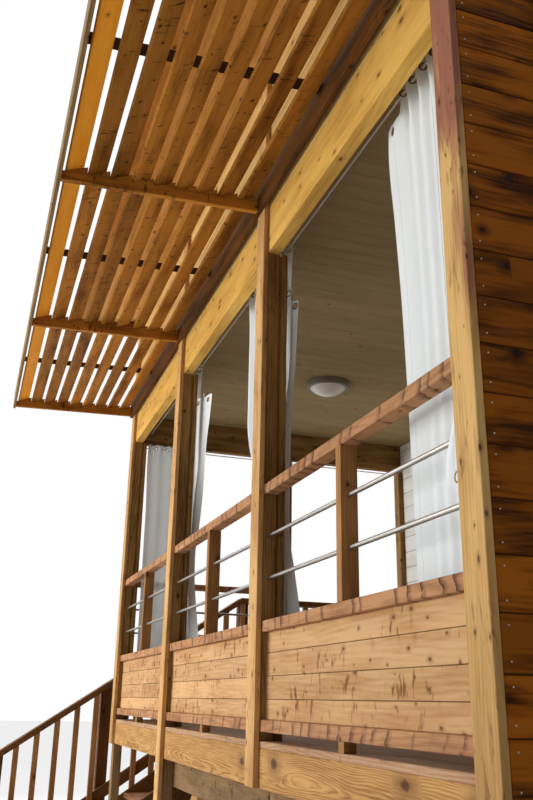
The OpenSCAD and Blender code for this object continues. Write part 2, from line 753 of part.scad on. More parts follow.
// A wide curtain at the right of every bay, and a narrow one behind each middle post
module curtains() color("white") set_down() {
    for (i = [0 : bays - 1])
        hung(post_left(i) - curtain_gap - curtain_wide, post_left(i) - curtain_gap);
    for (i = [1 : bays - 1])
        hung(trim_right(i) - curtain_tuck,
            trim_right(i) - curtain_tuck + (i == 1 ? bunch_first : bunch_next));
}

// A stringer is cut plumb at the landing and stands level on the ground
module stair_stringers() color(WOOD_DARK) set_down()
    for (x = [stair_in, stair_edge])
        along_x(x, joist_t)
            let (drop = stringer_h / cos(slope_deg))
                polygon([[foot_y + drop / slope, 0], [stair_y, 0], [stair_y, nosing_z(stair_y)],
                    [landing_y, deck_h], [landing_y, deck_h - drop]]);

module stair_treads() color(WOOD_RED) set_down()
    for (k = [1 : steps - 1])
        block([stair_out, landing_y - k * going, deck_h - k * riser - tread_t],
            [stair_in, landing_y - k * going + tread_d, deck_h - k * riser]);

// Newels stand outside the lower rail, and their tops follow the handrail
module stair_newels() color(WOOD_DARK) set_down()
    for (y = [foot_newel_y, newel_y, flat_y, room_y - newel_w])
        along_x(newel_x, newel_w)
            polygon([[y, 0], [y + newel_w, 0], [y + newel_w, slant_under(y + newel_w)], [y, slant_under(y)]]);

// Handrail and lower rail follow the flight, then run level along the landing
module stair_rails() color(WOOD_RED) set_down() {
    along_x(stair_out - hand_w, hand_w)
        polygon([[stair_y, slant_top(stair_y)], [flat_y, hand_top], [room_y, hand_top],
            [room_y, hand_under], [flat_under_y, hand_under], [stair_y, slant_under(stair_y)]]);
    along_x(landing_x, joist_t)
        translate([0, low_rail_gap])
            polygon([[stair_y, nosing_z(stair_y) + low_rise], [landing_y, deck_h + low_rise],
                [room_y, deck_h + low_rise], [room_y, deck_h],
                [landing_y, deck_h], [stair_y, nosing_z(stair_y)]]);
}

// Balusters stand on the outer stringer and on the landing, against the lower rail
module stair_balusters() color(WOOD_WARM) set_down()
    for (y = baluster_ys)
        along_x(stair_edge, stair_baluster)
            let (y1 = y + stair_baluster)
                polygon([[y, stand_z(y)], [y1, stand_z(y1)], [y1, slant_under(y1)], [y, slant_under(y)]]);

// The landing's back rail is one panel between the outer rail and the corner post
module landing_rail() color(WOOD_RED) set_down() {
    block([stair_out, room_y - post_d, hand_under], [left_x, room_y, hand_top]);
    block([stair_out, room_y - joist_t, deck_h + low_rail_gap],
        [left_x, room_y, deck_h + low_rail_gap + low_rail_h]);
    for (k = [1 : landing_n])
        let (x = stair_out + k * (left_x - stair_out) / (landing_n + 1) - stair_baluster / 2)
            block([x, room_y - post_d, deck_h], [x + stair_baluster, room_y - joist_t, hand_under]);
}

front_trims();
inner_trims();
posts();
header_front();
header_left();
front_upper_wall();
awning_ledger();
awning_rafters();
awning_slats();
awning_battens();
awning_edge_board();
handrails();
parapet_rails();
parapets();
guard_rods();
balusters();
decks();
joists();
bearers();
stilts();
knee_braces();
fascia_boards();
right_wall();
left_wall();
back_wall();
porch_wall();
cover_strips();
porch_door();
window_frames();
window_panes();
porch_ceiling();
roof_front();
roof_back();
barge_boards();
ridge_cap();
lamp_bases();
lamp_domes();
curtain_rods();
curtains();
stair_stringers();
stair_treads();
stair_newels();
stair_rails();
stair_balusters();
landing_rail();
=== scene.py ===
"""Timber cabin on stilts: porch with parapets and curtains, slatted awning and side stair.

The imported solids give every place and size. Each timber is sawn from its solid into boards,
eased along its edges and given its own grain, and the cloth, glass, metal and fixings are added.
"""

import logging
import math
import random
from dataclasses import dataclass, field, replace
from enum import Enum
from typing import Callable, Iterable, Sequence

import bmesh
import bpy
from mathutils import Matrix, Vector, noise
from mathutils.bvhtree import BVHTree


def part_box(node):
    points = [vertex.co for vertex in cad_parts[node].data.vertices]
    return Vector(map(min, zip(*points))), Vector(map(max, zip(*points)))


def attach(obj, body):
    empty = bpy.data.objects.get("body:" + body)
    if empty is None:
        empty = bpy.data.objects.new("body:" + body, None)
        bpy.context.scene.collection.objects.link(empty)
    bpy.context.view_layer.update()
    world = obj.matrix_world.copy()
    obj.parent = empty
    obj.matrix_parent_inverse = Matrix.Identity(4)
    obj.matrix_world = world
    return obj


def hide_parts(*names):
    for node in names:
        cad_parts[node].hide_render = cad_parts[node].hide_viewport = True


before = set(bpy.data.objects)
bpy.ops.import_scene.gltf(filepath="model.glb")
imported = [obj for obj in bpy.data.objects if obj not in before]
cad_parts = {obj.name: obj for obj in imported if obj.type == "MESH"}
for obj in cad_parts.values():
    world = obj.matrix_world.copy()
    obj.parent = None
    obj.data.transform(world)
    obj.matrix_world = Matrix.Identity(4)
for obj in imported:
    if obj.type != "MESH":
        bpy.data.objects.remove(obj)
LOG = logging.getLogger("cabin")
BODY = "root"

Mesh = bmesh.types.BMesh
Socket = bpy.types.NodeSocket
Value = Socket | float | str | tuple[float, ...]
Run = tuple[tuple[float, float], ...]


class Axis(Enum):
    """Direction of the cabin's plan."""

    LENGTH = 0
    DEPTH = 1
    HEIGHT = 2

    def vector(self) -> Vector:
        """Unit vector of this direction."""
        return Vector([float(k == self.value) for k in range(3)])


class Marks(Enum):
    """Marks that cross the grain of a sawn timber."""

    NONE = 0
    SMUDGES = 1
    KERFS = 2


# ---------------------------------------------------------------- finishes


def linear(colour: str) -> tuple[float, float, float, float]:
    """Turn an sRGB hex colour into linear light.

    Args:
        colour: Six hex digits after a hash.

    Returns:
        Red, green, blue and an alpha of 1.
    """
    parts = [int(colour[k : k + 2], 16) / 255 for k in (1, 3, 5)]
    bright = [p / 12.92 if p <= 0.04045 else ((p + 0.055) / 1.055) ** 2.4 for p in parts]
    return (*bright, 1.0)


# The property that holds each kind of node's main choice
CHOICES = {
    "Math": "operation",
    "VectorMath": "operation",
    "MapRange": "interpolation_type",
    "Mix": "data_type",
}


class Shader:
    """Node tree of a material or of the surround, built node by node."""

    def __init__(self, owner: bpy.types.Material | bpy.types.World) -> None:
        """Empty the owner's node tree.

        Args:
            owner: What the tree belongs to.
        """
        owner.use_nodes = True
        self.owner = owner
        self.tree = owner.node_tree
        self.tree.nodes.clear()

    def add(
        self,
        kind: str,
        *values: Value,
        output: str = "",
        inputs: dict[str, Value] | None = None,
        **settings: object,
    ) -> Socket | None:
        """Add a node with its settings and links.

        Args:
            kind: Node type without the word ShaderNode, with its main choice after a dot.
            *values: Value, sRGB hex colour or source socket of each live input, in order.
            output: Output to hand back, where it isn't the first live one.
            inputs: Inputs given by name.
            **settings: Other properties of the node.

        Returns:
            The output, where the node has one.
        """
        kind, _, choice = kind.partition(".")
        if choice:
            settings[CHOICES[kind]] = choice
        node = self.tree.nodes.new(f"ShaderNode{kind}")
        for key, value in settings.items():
            setattr(node, key, value)
        ends = [end for end in node.inputs if end.enabled]
        named = [(node.inputs[key], value) for key, value in (inputs or {}).items()]
        for end, value in [*zip(ends, values), *named]:
            if isinstance(value, Socket):
                self.tree.links.new(value, end)
            else:
                end.default_value = linear(value) if isinstance(value, str) else value
        return node.outputs[output] if output else next((end for end in node.outputs if end.enabled), None)

    def cloud(self, scale: float, detail: float) -> Socket:
        """Pattern the piece's own coordinates with soft clouds."""
        return self.add("TexNoise", self.add("TexCoord", output="Object"), scale, detail)

    def stretched(
        self,
        at: Socket,
        scale: tuple[float, float, float],
        place: Value,
        detail: float = 2.0,
        **inputs: Value,
    ) -> Socket:
        """Pattern coordinates with clouds that are longer one way.

        Args:
            at: The coordinates.
            scale: Waves per metre along each of them.
            place: Offset in the pattern.
            detail: Octaves of finer clouds.
            **inputs: Other inputs of the noise.

        Returns:
            The pattern, from 0 to 1.
        """
        spot = self.add("VectorMath.MULTIPLY_ADD", at, scale, place)
        return self.add("TexNoise", spot, 1.0, detail, inputs=inputs)

    def washed(self, colour: Value, mask: Socket, share: float, tint: Value) -> Socket:
        """Wash a tint over a colour, as strong as its mask times its share."""
        return self.add("Mix.RGBA", self.add("Math.MULTIPLY", mask, share), colour, tint)

    def surface(
        self,
        colour: Value,
        gloss: Value,
        relief: tuple[Socket, float, float] | None = None,
        sockets: dict[str, Value] | None = None,
    ) -> Socket:
        """Add the surface that the eye meets.

        Args:
            colour: Its colour.
            gloss: Its roughness.
            relief: Pattern, depth in metres and strength of its bumps.
            sockets: Its other inputs.

        Returns:
            The shader.
        """
        inputs = {"Base Color": colour, "Roughness": gloss, **(sockets or {})}
        if relief:
            inputs["Normal"] = self.add("Bump", inputs=dict(zip(("Height", "Distance", "Strength"), relief)))
        return self.add("BsdfPrincipled", inputs=inputs)

    def finish(self, surface: Socket, kind: str = "Material") -> bpy.types.Material | bpy.types.World:
        """Join the surface to the output and hand back the tree's owner."""
        self.add(f"Output{kind}", surface)
        return self.owner


class BoardShader(Shader):
    """Node tree that reads each board's own grain, offset, tone and joints."""

    def __init__(self, name: str) -> None:
        """Start a material and read what each board carries.

        Args:
            name: Name of the material.
        """
        super().__init__(bpy.data.materials.new(name))
        self.grain, board = (
            self.add("Attribute", output="Vector", attribute_name=layer) for layer in ("grain", "board")
        )
        seed, self.tone, self.joint = self.add("SeparateXYZ", board).node.outputs
        seeds = self.add("CombineXYZ", seed, seed, seed)
        self.place = self.add("VectorMath.MULTIPLY", seeds, (61.0, 37.0, 23.0))

    def figure(self, scale: tuple[float, float, float], detail: float = 2.0, **inputs: Value) -> Socket:
        """Pattern the wood along and across its own grain."""
        return self.stretched(self.grain, scale, self.place, detail, **inputs)

    def laid(self, colour: Socket, spread: float, dirt: float, grime: str) -> Socket:
        """Give each board its own tone, and lay dirt in the joints between boards.

        Args:
            colour: Colour of the boards.
            spread: How far their tones differ.
            dirt: Share of the dirt in the joints.
            grime: The dirt's colour.

        Returns:
            The colour of the laid boards.
        """
        tone = self.add("Math.MULTIPLY_ADD", self.tone, spread, 1.0)
        return self.washed(self.add("VectorMath.SCALE", colour, tone), self.joint, dirt, grime)


@dataclass(frozen=True)
class Wood:
    """Sawn softwood: growth rings, fibres, knots with dark rims and the marks of saw and rain."""

    name: str
    early: str
    late: str
    knot: str = "#2e1a0c"
    mark: str = "#5b351c"
    ring_mm: float = 9.0
    ring_share: float = 0.4
    pith_mm: tuple[float, float] = (110.0, 60.0)
    bend_mm: float = 5.0
    knot_gap_mm: float = 200.0
    knot_mm: float = 12.0
    knot_share: float = 0.6
    knot_shape: tuple[float, float] = (0.7, 1.0)
    rim: float = 0.45
    rim_reach: float = 3.0
    patch: float = 0.25
    fibre_mm: float = 3.3
    swirl: float = 1.0
    marks: Marks = Marks.NONE
    mark_share: float = 0.6
    mark_gap_mm: float = 90.0
    stain_mm: tuple[float, float] = (24.0, 110.0)
    stain_cover: float = 0.44
    stain_curl: float = 0.6
    stain_gap: float = 0.45
    height_washes: tuple[tuple[float, float, str, float], ...] = ()
    wash_sway: float = 2.6
    spread: float = 0.14
    dirt: float = 0.85
    grime: str = "#1c1008"
    roughness: float = 0.75
    sheen: float = 0.15
    relief_mm: float = 0.5

    def material(self) -> bpy.types.Material:
        """Build the material.

        Returns:
            A wood that follows the boards' own grain.
        """
        s = BoardShader(self.name)
        knot, rim = self.knots(s)
        fine = 1000 / self.fibre_mm
        fibre = s.figure((6.0, fine, fine), 3.0)
        cloud = s.figure((2.4, 13.0, 13.0), 3.0)
        ring = self.rings(s, rim, cloud)
        streak = s.add("MapRange", fibre, 0.25, 0.75, -0.25, 0.25)
        patch = s.add("MapRange", cloud, 0.3, 0.7, -self.patch, self.patch)
        mixed = s.add("Math.ADD", s.add("Math.MULTIPLY_ADD", ring, self.ring_share, streak), patch)
        mixed = s.add("Math.ADD", mixed, 0.2, use_clamp=True)
        colour = s.add("Mix.RGBA", mixed, self.early, self.late)
        # Washes that fade in with height; the end trim's purplish top one is painted shade
        for low, high, tint, share in self.height_washes:
            height = s.add("SeparateXYZ", s.add("TexCoord", output="Object")).node.outputs["Z"]
            height = s.add("Math.MULTIPLY_ADD", cloud, self.wash_sway, height)
            low, high = (z + self.wash_sway / 2 for z in (low, high))
            wash = s.add("MapRange.SMOOTHSTEP", height, low, high, 0.0, share)
            colour = s.add("Mix.RGBA", wash, colour, tint)
        if self.marks is not Marks.NONE:
            marks = self.smudges(s) if self.marks is Marks.SMUDGES else self.kerfs(s)
            colour = s.washed(colour, marks, self.mark_share, self.mark)
        colour = s.washed(colour, rim, self.rim, self.mark)
        colour = s.washed(colour, knot, 0.88, self.knot)
        colour = s.laid(colour, self.spread, self.dirt, self.grime)
        gloss = s.add("MapRange.SMOOTHSTEP", fibre, 0.2, 0.8, self.roughness - 0.08, self.roughness + 0.12)
        lift = s.add("Math.MULTIPLY_ADD", knot, -0.7, s.add("Math.MULTIPLY_ADD", ring, 0.55, fibre))
        relief = (lift, self.relief_mm / 1000, 0.9)
        return s.finish(s.surface(colour, gloss, relief, {"IOR": 1.5, "Specular IOR Level": self.sheen}))

    def knots(self, s: BoardShader) -> tuple[Socket, Socket]:
        """Scatter knots over the faces: flat cells, of which a share holds a knot.

        Args:
            s: The material in the making.

        Returns:
            Masks of the knots and of the darker wood round them.
        """
        along, up, out = s.add("SeparateXYZ", s.grain).node.outputs
        face = s.add("CombineXYZ", along, s.add("Math.ADD", up, out), 0.0)
        wobble = s.stretched(face, (38.0, 38.0, 0.0), s.place).node.outputs["Color"]
        face = s.add("VectorMath.MULTIPLY_ADD", wobble, (self.knot_mm / 1600,) * 3, face)
        shape = (*(share * 1000 / self.knot_gap_mm for share in self.knot_shape), 0.0)
        at = s.add("VectorMath.MULTIPLY_ADD", face, shape, s.place)
        cells = s.add("TexVoronoi", at, 1.0, voronoi_dimensions="2D").node.outputs
        chance, least = s.add("SeparateColor", cells["Color"]), 1.0 - self.knot_share
        there = s.add("Math.GREATER_THAN", chance, least)
        size = s.add("MapRange", chance, least, 1.0, 0.3, 1.0)
        reach = s.add("Math.MULTIPLY", size, self.knot_mm / self.knot_gap_mm)
        ratio = s.add("Math.DIVIDE", cells["Distance"], reach)
        spans = ((0.6, 1.15), (0.8, self.rim_reach))
        masks = [s.add("MapRange.SMOOTHSTEP", ratio, *span, 1.0, 0.0) for span in spans]
        return tuple(s.add("Math.MULTIPLY", mask, there) for mask in masks)

    def rings(self, s: BoardShader, rim: Socket, cloud: Socket) -> Socket:
        """Cut the growth rings round a pith that wanders beside and below the board.

        Args:
            s: The material in the making.
            rim: The wood round the knots, which the rings flow round.
            cloud: Slow noise that bends them.

        Returns:
            Share of the dark latewood.
        """
        side, below = (mm / 1000 for mm in self.pith_mm)
        wander = s.figure((0.8, 0.0, 0.0), 1.0).node.outputs["Color"]
        pith = s.add("VectorMath.MULTIPLY_ADD", wander, (0.0, 0.16, 0.1), (0.0, side - 0.08, -below - 0.05))
        flat = s.add("VectorMath.MULTIPLY", s.grain, (0.0, 1.0, 1.0))
        radius = s.add("VectorMath.DISTANCE", flat, pith)
        bent = s.add("Math.MULTIPLY_ADD", rim, self.knot_mm * self.swirl / 1000, radius)
        bent = s.add("Math.MULTIPLY_ADD", cloud, self.bend_mm * 4 / 1000, bent)
        phase = s.add("Math.FRACT", s.add("Math.MULTIPLY", bent, 1000 / self.ring_mm))
        spans = ((0.2, 0.86, 0.0, 1.0), (0.88, 1.0, 1.0, 0.0))
        return s.add("Math.MULTIPLY", *(s.add("MapRange.SMOOTHSTEP", phase, *span) for span in spans))

    def smudges(self, s: BoardShader) -> Socket:
        """Lay ragged dark stains in loose groups.

        Args:
            s: The material in the making.

        Returns:
            Mask of the stains.
        """
        along, across = (1000 / mm for mm in self.stain_mm)
        curl = {"Roughness": 0.5 + self.stain_curl / 6, "Distortion": self.stain_curl}
        stain = s.figure((along, across, across), 3.0, **curl)
        group = s.figure((3.2, 4.0, 4.0), 1.0)
        least = 1.0 - self.stain_cover
        spans = ((stain, least, least + 0.14), (group, self.stain_gap, self.stain_gap + 0.15))
        return s.add("Math.MULTIPLY", *(s.add("MapRange.SMOOTHSTEP", *span) for span in spans))

    def kerfs(self, s: BoardShader) -> Socket:
        """Lay slanting dark saw marks, no two alike.

        Args:
            s: The material in the making.

        Returns:
            Mask of the saw marks.
        """
        along, up, out = s.add("SeparateXYZ", s.grain).node.outputs
        turns = s.add("Math.MULTIPLY", along, 1000 / self.mark_gap_mm)
        slant = s.add("Math.ADD", up, out)
        turns = s.add("Math.MULTIPLY_ADD", slant, 260 / self.mark_gap_mm, turns)
        turns = s.add("Math.MULTIPLY_ADD", s.figure((5.0, 14.0, 14.0)), 0.9, turns)
        cell = s.add("Math.ADD", s.add("Math.FLOOR", turns), s.place)
        luck = s.add("TexWhiteNoise", cell, noise_dimensions="1D")
        other = s.add("TexWhiteNoise", s.add("Math.ADD", cell, 0.37), noise_dimensions="1D")
        start = s.add("Math.MULTIPLY_ADD", luck, 0.45, 0.1)
        gap = s.add("Math.SUBTRACT", s.add("Math.FRACT", turns), start)
        width = s.add("Math.MULTIPLY_ADD", other, 0.4, 0.12)
        mark = s.add("Math.SUBTRACT", 1.0, s.add("Math.DIVIDE", gap, width), use_clamp=True)
        broken = s.figure((22.0, 30.0, 30.0), 3.0)
        for span in ((gap, -0.02, 0.015), (broken, 0.25, 0.5), (other, 0.2, 0.45)):
            mark = s.add("Math.MULTIPLY", mark, s.add("MapRange.SMOOTHSTEP", *span))
        return mark


@dataclass(frozen=True)
class Paint:
    """Oil paint brushed on sawn boards: soft gloss, faint brush lines and grey in the joints."""

    name: str
    coat: str
    worn: str
    roughness: float = 0.5
    spread: float = 0.03
    dirt: float = 0.6
    grime: str = "#4a443a"

    def material(self) -> bpy.types.Material:
        """Build the material.

        Returns:
            A brushed paint that follows the boards' own grain.
        """
        s = BoardShader(self.name)
        brush = s.figure((6.0, 420.0, 420.0))
        wear = s.add("MapRange.SMOOTHSTEP", s.figure((1.6, 9.0, 9.0), 4.0), 0.42, 0.75, 0.0, 0.55)
        colour = s.laid(s.add("Mix.RGBA", wear, self.coat, self.worn), self.spread, self.dirt, self.grime)
        gloss = s.add("MapRange.SMOOTHSTEP", brush, 0.2, 0.8, self.roughness - 0.08, self.roughness + 0.1)
        sockets = {"IOR": 1.5, "Specular IOR Level": 0.3}
        return s.finish(s.surface(colour, gloss, (brush, 0.0003, 0.7), sockets))


@dataclass(frozen=True)
class Metal:
    """Bare or coated metal: fine grain, finger marks and a little dullness."""

    name: str
    face: str
    dull: str
    metallic: float = 1.0
    roughness: float = 0.3
    grain_mm: float = 1.2

    def material(self) -> bpy.types.Material:
        """Build the material.

        Returns:
            A metal patterned in the piece's own coordinates.
        """
        s = Shader(bpy.data.materials.new(self.name))
        grain, cloud = s.cloud(1000 / self.grain_mm, 2.0), s.cloud(9.0, 4.0)
        colour = s.add("Mix.RGBA", s.add("MapRange", cloud, 0.35, 0.75, 0.0, 0.8), self.face, self.dull)
        both = s.add("Math.ADD", grain, cloud)
        gloss = s.add("MapRange", both, 0.6, 1.4, self.roughness - 0.07, self.roughness + 0.12)
        return s.finish(s.surface(colour, gloss, (grain, 0.0001, 0.4), {"Metallic": self.metallic}))


@dataclass(frozen=True)
class Glass:
    """Float glass, very slightly wavy, with a thin film of dust."""

    name: str
    tint: str

    def material(self) -> bpy.types.Material:
        """Build the material.

        Returns:
            A clear glass.
        """
        s = Shader(bpy.data.materials.new(self.name))
        gloss = s.add("MapRange", s.cloud(6.0, 6.0), 0.4, 0.8, 0.01, 0.12)
        waves = (s.cloud(3.0, 0.0), 0.002, 0.3)
        return s.finish(s.surface(self.tint, gloss, waves, {"IOR": 1.5, "Transmission Weight": 1.0}))


@dataclass(frozen=True)
class Opal:
    """Moulded opal acrylic: a milky, glossy skin with a few specks of dust."""

    name: str
    milk: str
    dust: str = "#b8b2a4"

    def material(self) -> bpy.types.Material:
        """Build the material.

        Returns:
            A milky plastic.
        """
        s = Shader(bpy.data.materials.new(self.name))
        specks = s.cloud(40.0, 5.0)
        colour = s.add("Mix.RGBA", s.add("MapRange", specks, 0.55, 0.8, 0.0, 0.35), self.milk, self.dust)
        gloss = s.add("MapRange", specks, 0.3, 0.7, 0.14, 0.3)
        return s.finish(s.surface(colour, gloss, sockets={"IOR": 1.49, "Coat Weight": 0.3}))


@dataclass(frozen=True)
class Weave:
    """Thin cotton that lets light through, with slubs in its threads, a stitched hem and a seam.

    Its threads are drawn 4 mm apart, because real ones are too fine to show.
    """

    name: str
    thread: str
    shade: str
    stitch: str = "#84877f"
    thin: float = 0.15
    seam: float = 0.286
    hem: float = 0.026

    def material(self) -> bpy.types.Material:
        """Build the material.

        Returns:
            A cloth patterned on the sheet's own flat coordinates.
        """
        s = Shader(bpy.data.materials.new(self.name))
        flat = s.add("UVMap", uv_map="flat")
        warp = s.stretched(flat, (250.0, 12.0, 0.0), (0.0, 0.0, 0.0))
        weft = s.stretched(flat, (12.0, 250.0, 0.0), (5.0, 3.0, 0.0))
        cross = s.add("Math.ADD", warp, weft)
        cloud = s.stretched(flat, (6.0, 2.0, 0.0), (2.0, 7.0, 0.0), 3.0)
        colour = self.thread
        for pattern in ((cloud, 0.35, 0.75, 0.0, 0.35), (cross, 0.8, 1.2, 0.0, 0.12)):
            colour = s.add("Mix.RGBA", s.add("MapRange.SMOOTHSTEP", *pattern), colour, self.shade)
        colour = s.add("Mix.RGBA", self.stitches(s, flat), colour, self.stitch)
        gloss = s.add("MapRange.SMOOTHSTEP", cloud, 0.3, 0.7, 0.78, 0.92)
        bump = s.add("Bump", inputs={"Height": cross, "Distance": 0.0003, "Strength": 0.5})
        sockets = {"Normal": bump, "Sheen Weight": 0.2, "Specular IOR Level": 0.1}
        cloth = s.surface(colour, gloss, sockets=sockets)
        through = s.add("BsdfTranslucent", colour, inputs={"Normal": bump})
        return s.finish(s.add("MixShader", self.thin, cloth, through))

    def stitches(self, s: Shader, flat: Socket) -> Socket:
        """Sew a line of stitches down one hem and along a seam.

        Args:
            s: The material in the making.
            flat: The sheet's flat coordinates.

        Returns:
            Mask of the stitches.
        """
        u = s.add("SeparateXYZ", flat)
        lines = []
        for place, half, share in ((self.hem, 0.0012, 0.15), (self.seam, 0.0016, 0.7)):
            gap = s.add("Math.ABSOLUTE", s.add("Math.SUBTRACT", u, place))
            lines.append(s.add("MapRange.SMOOTHSTEP", gap, half, half * 2, share, 0.0))
        return s.add("Math.MAXIMUM", *lines)


@dataclass(frozen=True)
class Floor:
    """Pale floor of the stage, which fades towards the white surround but keeps the shadows."""

    name: str
    pale: str
    grey: str = "#dcdad4"
    fade: float = 0.8

    def material(self) -> bpy.types.Material:
        """Build the material.

        Returns:
            A matt pale surface.
        """
        s = Shader(bpy.data.materials.new(self.name))
        share = s.add("MapRange", s.cloud(0.8, 5.0), 0.3, 0.7, 0.0, 0.15)
        matt = s.surface(s.add("Mix.RGBA", share, self.pale, self.grey), 0.9)
        seen = s.add("Math.MULTIPLY", s.add("LightPath", output="Is Camera Ray"), self.fade)
        return s.finish(s.add("MixShader", seen, matt, s.add("Emission", inputs={"Strength": 1.0})))


# ---------------------------------------------------------------- meshes


def copy_of(node: str) -> Mesh:
    """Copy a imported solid's triangles into closed solids with whole faces.

    Args:
        node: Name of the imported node.

    Returns:
        A bmesh of its own, with doubles merged and flat faces joined.
    """
    bm = bmesh.new()
    bm.from_mesh(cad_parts[node].data)
    bmesh.ops.remove_doubles(bm, verts=bm.verts, dist=1e-5)
    bmesh.ops.dissolve_limit(bm, angle_limit=0.004, verts=bm.verts, edges=bm.edges)
    return bm


def islands(bm: Mesh) -> list[list[bmesh.types.BMVert]]:
    """Sort a mesh's vertices into its separate solids.

    Args:
        bm: The mesh.

    Returns:
        The vertices of each solid.
    """
    left, found = set(bm.verts), []
    for first in bm.verts:
        if first not in left:
            continue
        left.discard(first)
        solid, edge = [first], [first]
        while edge:
            vert = edge.pop()
            for link in vert.link_edges:
                other = link.other_vert(vert)
                if other in left:
                    left.discard(other)
                    solid.append(other)
                    edge.append(other)
        found.append(solid)
    return found


def box_of(verts: Iterable[bmesh.types.BMVert]) -> tuple[Vector, Vector]:
    """Box some vertices.

    Args:
        verts: The vertices.

    Returns:
        Lowest and highest corner.
    """
    places = [v.co for v in verts]
    low = Vector([min(p[k] for p in places) for k in range(3)])
    return low, Vector([max(p[k] for p in places) for k in range(3)])


def solids_of(node: str) -> list[tuple[Vector, Vector]]:
    """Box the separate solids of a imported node.

    Args:
        node: Name of the node.

    Returns:
        Lowest and highest corner of each solid, from left to right.
    """
    bm = copy_of(node)
    boxes = sorted((box_of(s) for s in islands(bm)), key=lambda b: tuple(b[0]))
    bm.free()
    return boxes


def joined(parts: Iterable[Mesh]) -> Mesh:
    """Put several meshes into one.

    Args:
        parts: The meshes, freed by this call.

    Returns:
        The one mesh.
    """
    whole = bmesh.new()
    for part in parts:
        mesh = bpy.data.meshes.new("part")
        part.to_mesh(mesh)
        part.free()
        whole.from_mesh(mesh)
        bpy.data.meshes.remove(mesh)
    return whole


def behind(bm: Mesh, place: Vector, normal: Vector) -> Mesh:
    """Copy what lies behind a plane, closed where the plane cuts it.

    Args:
        bm: Closed solids, left as they are.
        place: A point of the plane.
        normal: Direction that is cut away.

    Returns:
        The closed copy, which may be empty.
    """
    part = bm.copy()
    whole = part.verts[:] + part.edges[:] + part.faces[:]
    bmesh.ops.bisect_plane(part, geom=whole, dist=1e-6, plane_co=place, plane_no=normal, clear_outer=True)
    rims = [e for e in part.edges if e.is_boundary]
    if rims:
        bmesh.ops.holes_fill(part, edges=rims, sides=0)
    bmesh.ops.recalc_face_normals(part, faces=part.faces)
    return part


def slabs(bm: Mesh, axis: Axis, places: Iterable[float]) -> list[Mesh]:
    """Saw a mesh at some places along an axis.

    Args:
        bm: Closed solids, freed by this call.
        axis: Axis that the cuts are square to.
        places: Coordinates of the cuts.

    Returns:
        One closed mesh for each slab that holds something.
    """
    low, high = (corner[axis.value] for corner in box_of(bm.verts))
    across, cut = axis.vector(), []
    for place in sorted(p for p in places if low + 0.004 < p < high - 0.004):
        slab = behind(bm, across * place, across)
        rest = behind(bm, across * place, -across)
        bm.free()
        bm = rest
        cut.append(slab)
    return [slab for slab in (*cut, bm) if slab.faces]


def eased(bm: Mesh, amount: float, segments: int = 1, degrees: float = 30.0) -> Mesh:
    """Take the sharp edges off a closed mesh.

    Args:
        bm: The mesh.
        amount: Width of the bevel, in metres.
        segments: Faces across the bevel.
        degrees: Smallest turn between two faces that counts as an edge.

    Returns:
        The same mesh.
    """
    limit = math.radians(degrees)
    edges = [e for e in bm.edges if len(e.link_faces) == 2 and e.calc_face_angle(0.0) > limit]
    bmesh.ops.bevel(
        bm,
        geom=edges,
        offset=amount,
        offset_type="OFFSET",
        segments=segments,
        profile=0.5,
        affect="EDGES",
        clamp_overlap=True,
        material=-1,
    )
    return bm


def grained(
    bm: Mesh,
    rng: random.Random,
    joints: Sequence[tuple[Axis, float]] = (),
    along: Axis | None = None,
    play: float = 0.0,
) -> None:
    """Give every solid its own grain, tone and seat, and mark the joints between boards.

    Args:
        bm: Closed solids.
        rng: Source of the boards' own tones.
        joints: Cuts between boards, where dirt lies.
        along: Direction of the grain, where it isn't a solid's longest edge.
        play: How far a board may stand off its neighbours, in metres.
    """
    grain = bm.verts.layers.float_vector.new("grain")
    board = bm.verts.layers.float_vector.new("board")
    for solid in islands(bm):
        # Kept in order, so that the same edge and face win a tie in each run
        edges = dict.fromkeys(e for v in solid for e in v.link_edges)
        faces = dict.fromkeys(f for v in solid for f in v.link_faces)
        longest = max(edges, key=lambda e: e.calc_length())
        u = along.vector() if along else (longest.verts[1].co - longest.verts[0].co).normalized()
        sides = [f for f in faces if abs(f.normal.dot(u)) < 0.3] or list(faces)
        w = max(sides, key=lambda f: f.calc_area()).normal.copy()
        w = (w - u * w.dot(u)).normalized()
        v = w.cross(u)
        low, high = box_of(solid)
        middle = (low + high) / 2
        seed, tone = rng.random(), rng.uniform(-1.0, 1.0)
        shift = w * rng.uniform(-play, play)
        for vert in solid:
            gap = vert.co - middle
            vert[grain] = Vector((gap.dot(u), gap.dot(v), gap.dot(w)))
            joint = any(abs(vert.co[a.value] - place) < 2e-5 for a, place in joints)
            vert[board] = Vector((seed, tone, float(joint)))
            vert.co += shift


Finish = Wood | Paint | Metal | Glass | Opal | Weave | Floor
FINISHED: dict[Finish, bpy.types.Material] = {}


def placed(name: str, data: bpy.types.ID) -> bpy.types.Object:
    """Put an object into the scene.

    Args:
        name: Its name.
        data: Its mesh, camera or light.

    Returns:
        The object.
    """
    thing = bpy.data.objects.new(name, data)
    bpy.context.scene.collection.objects.link(thing)
    return thing


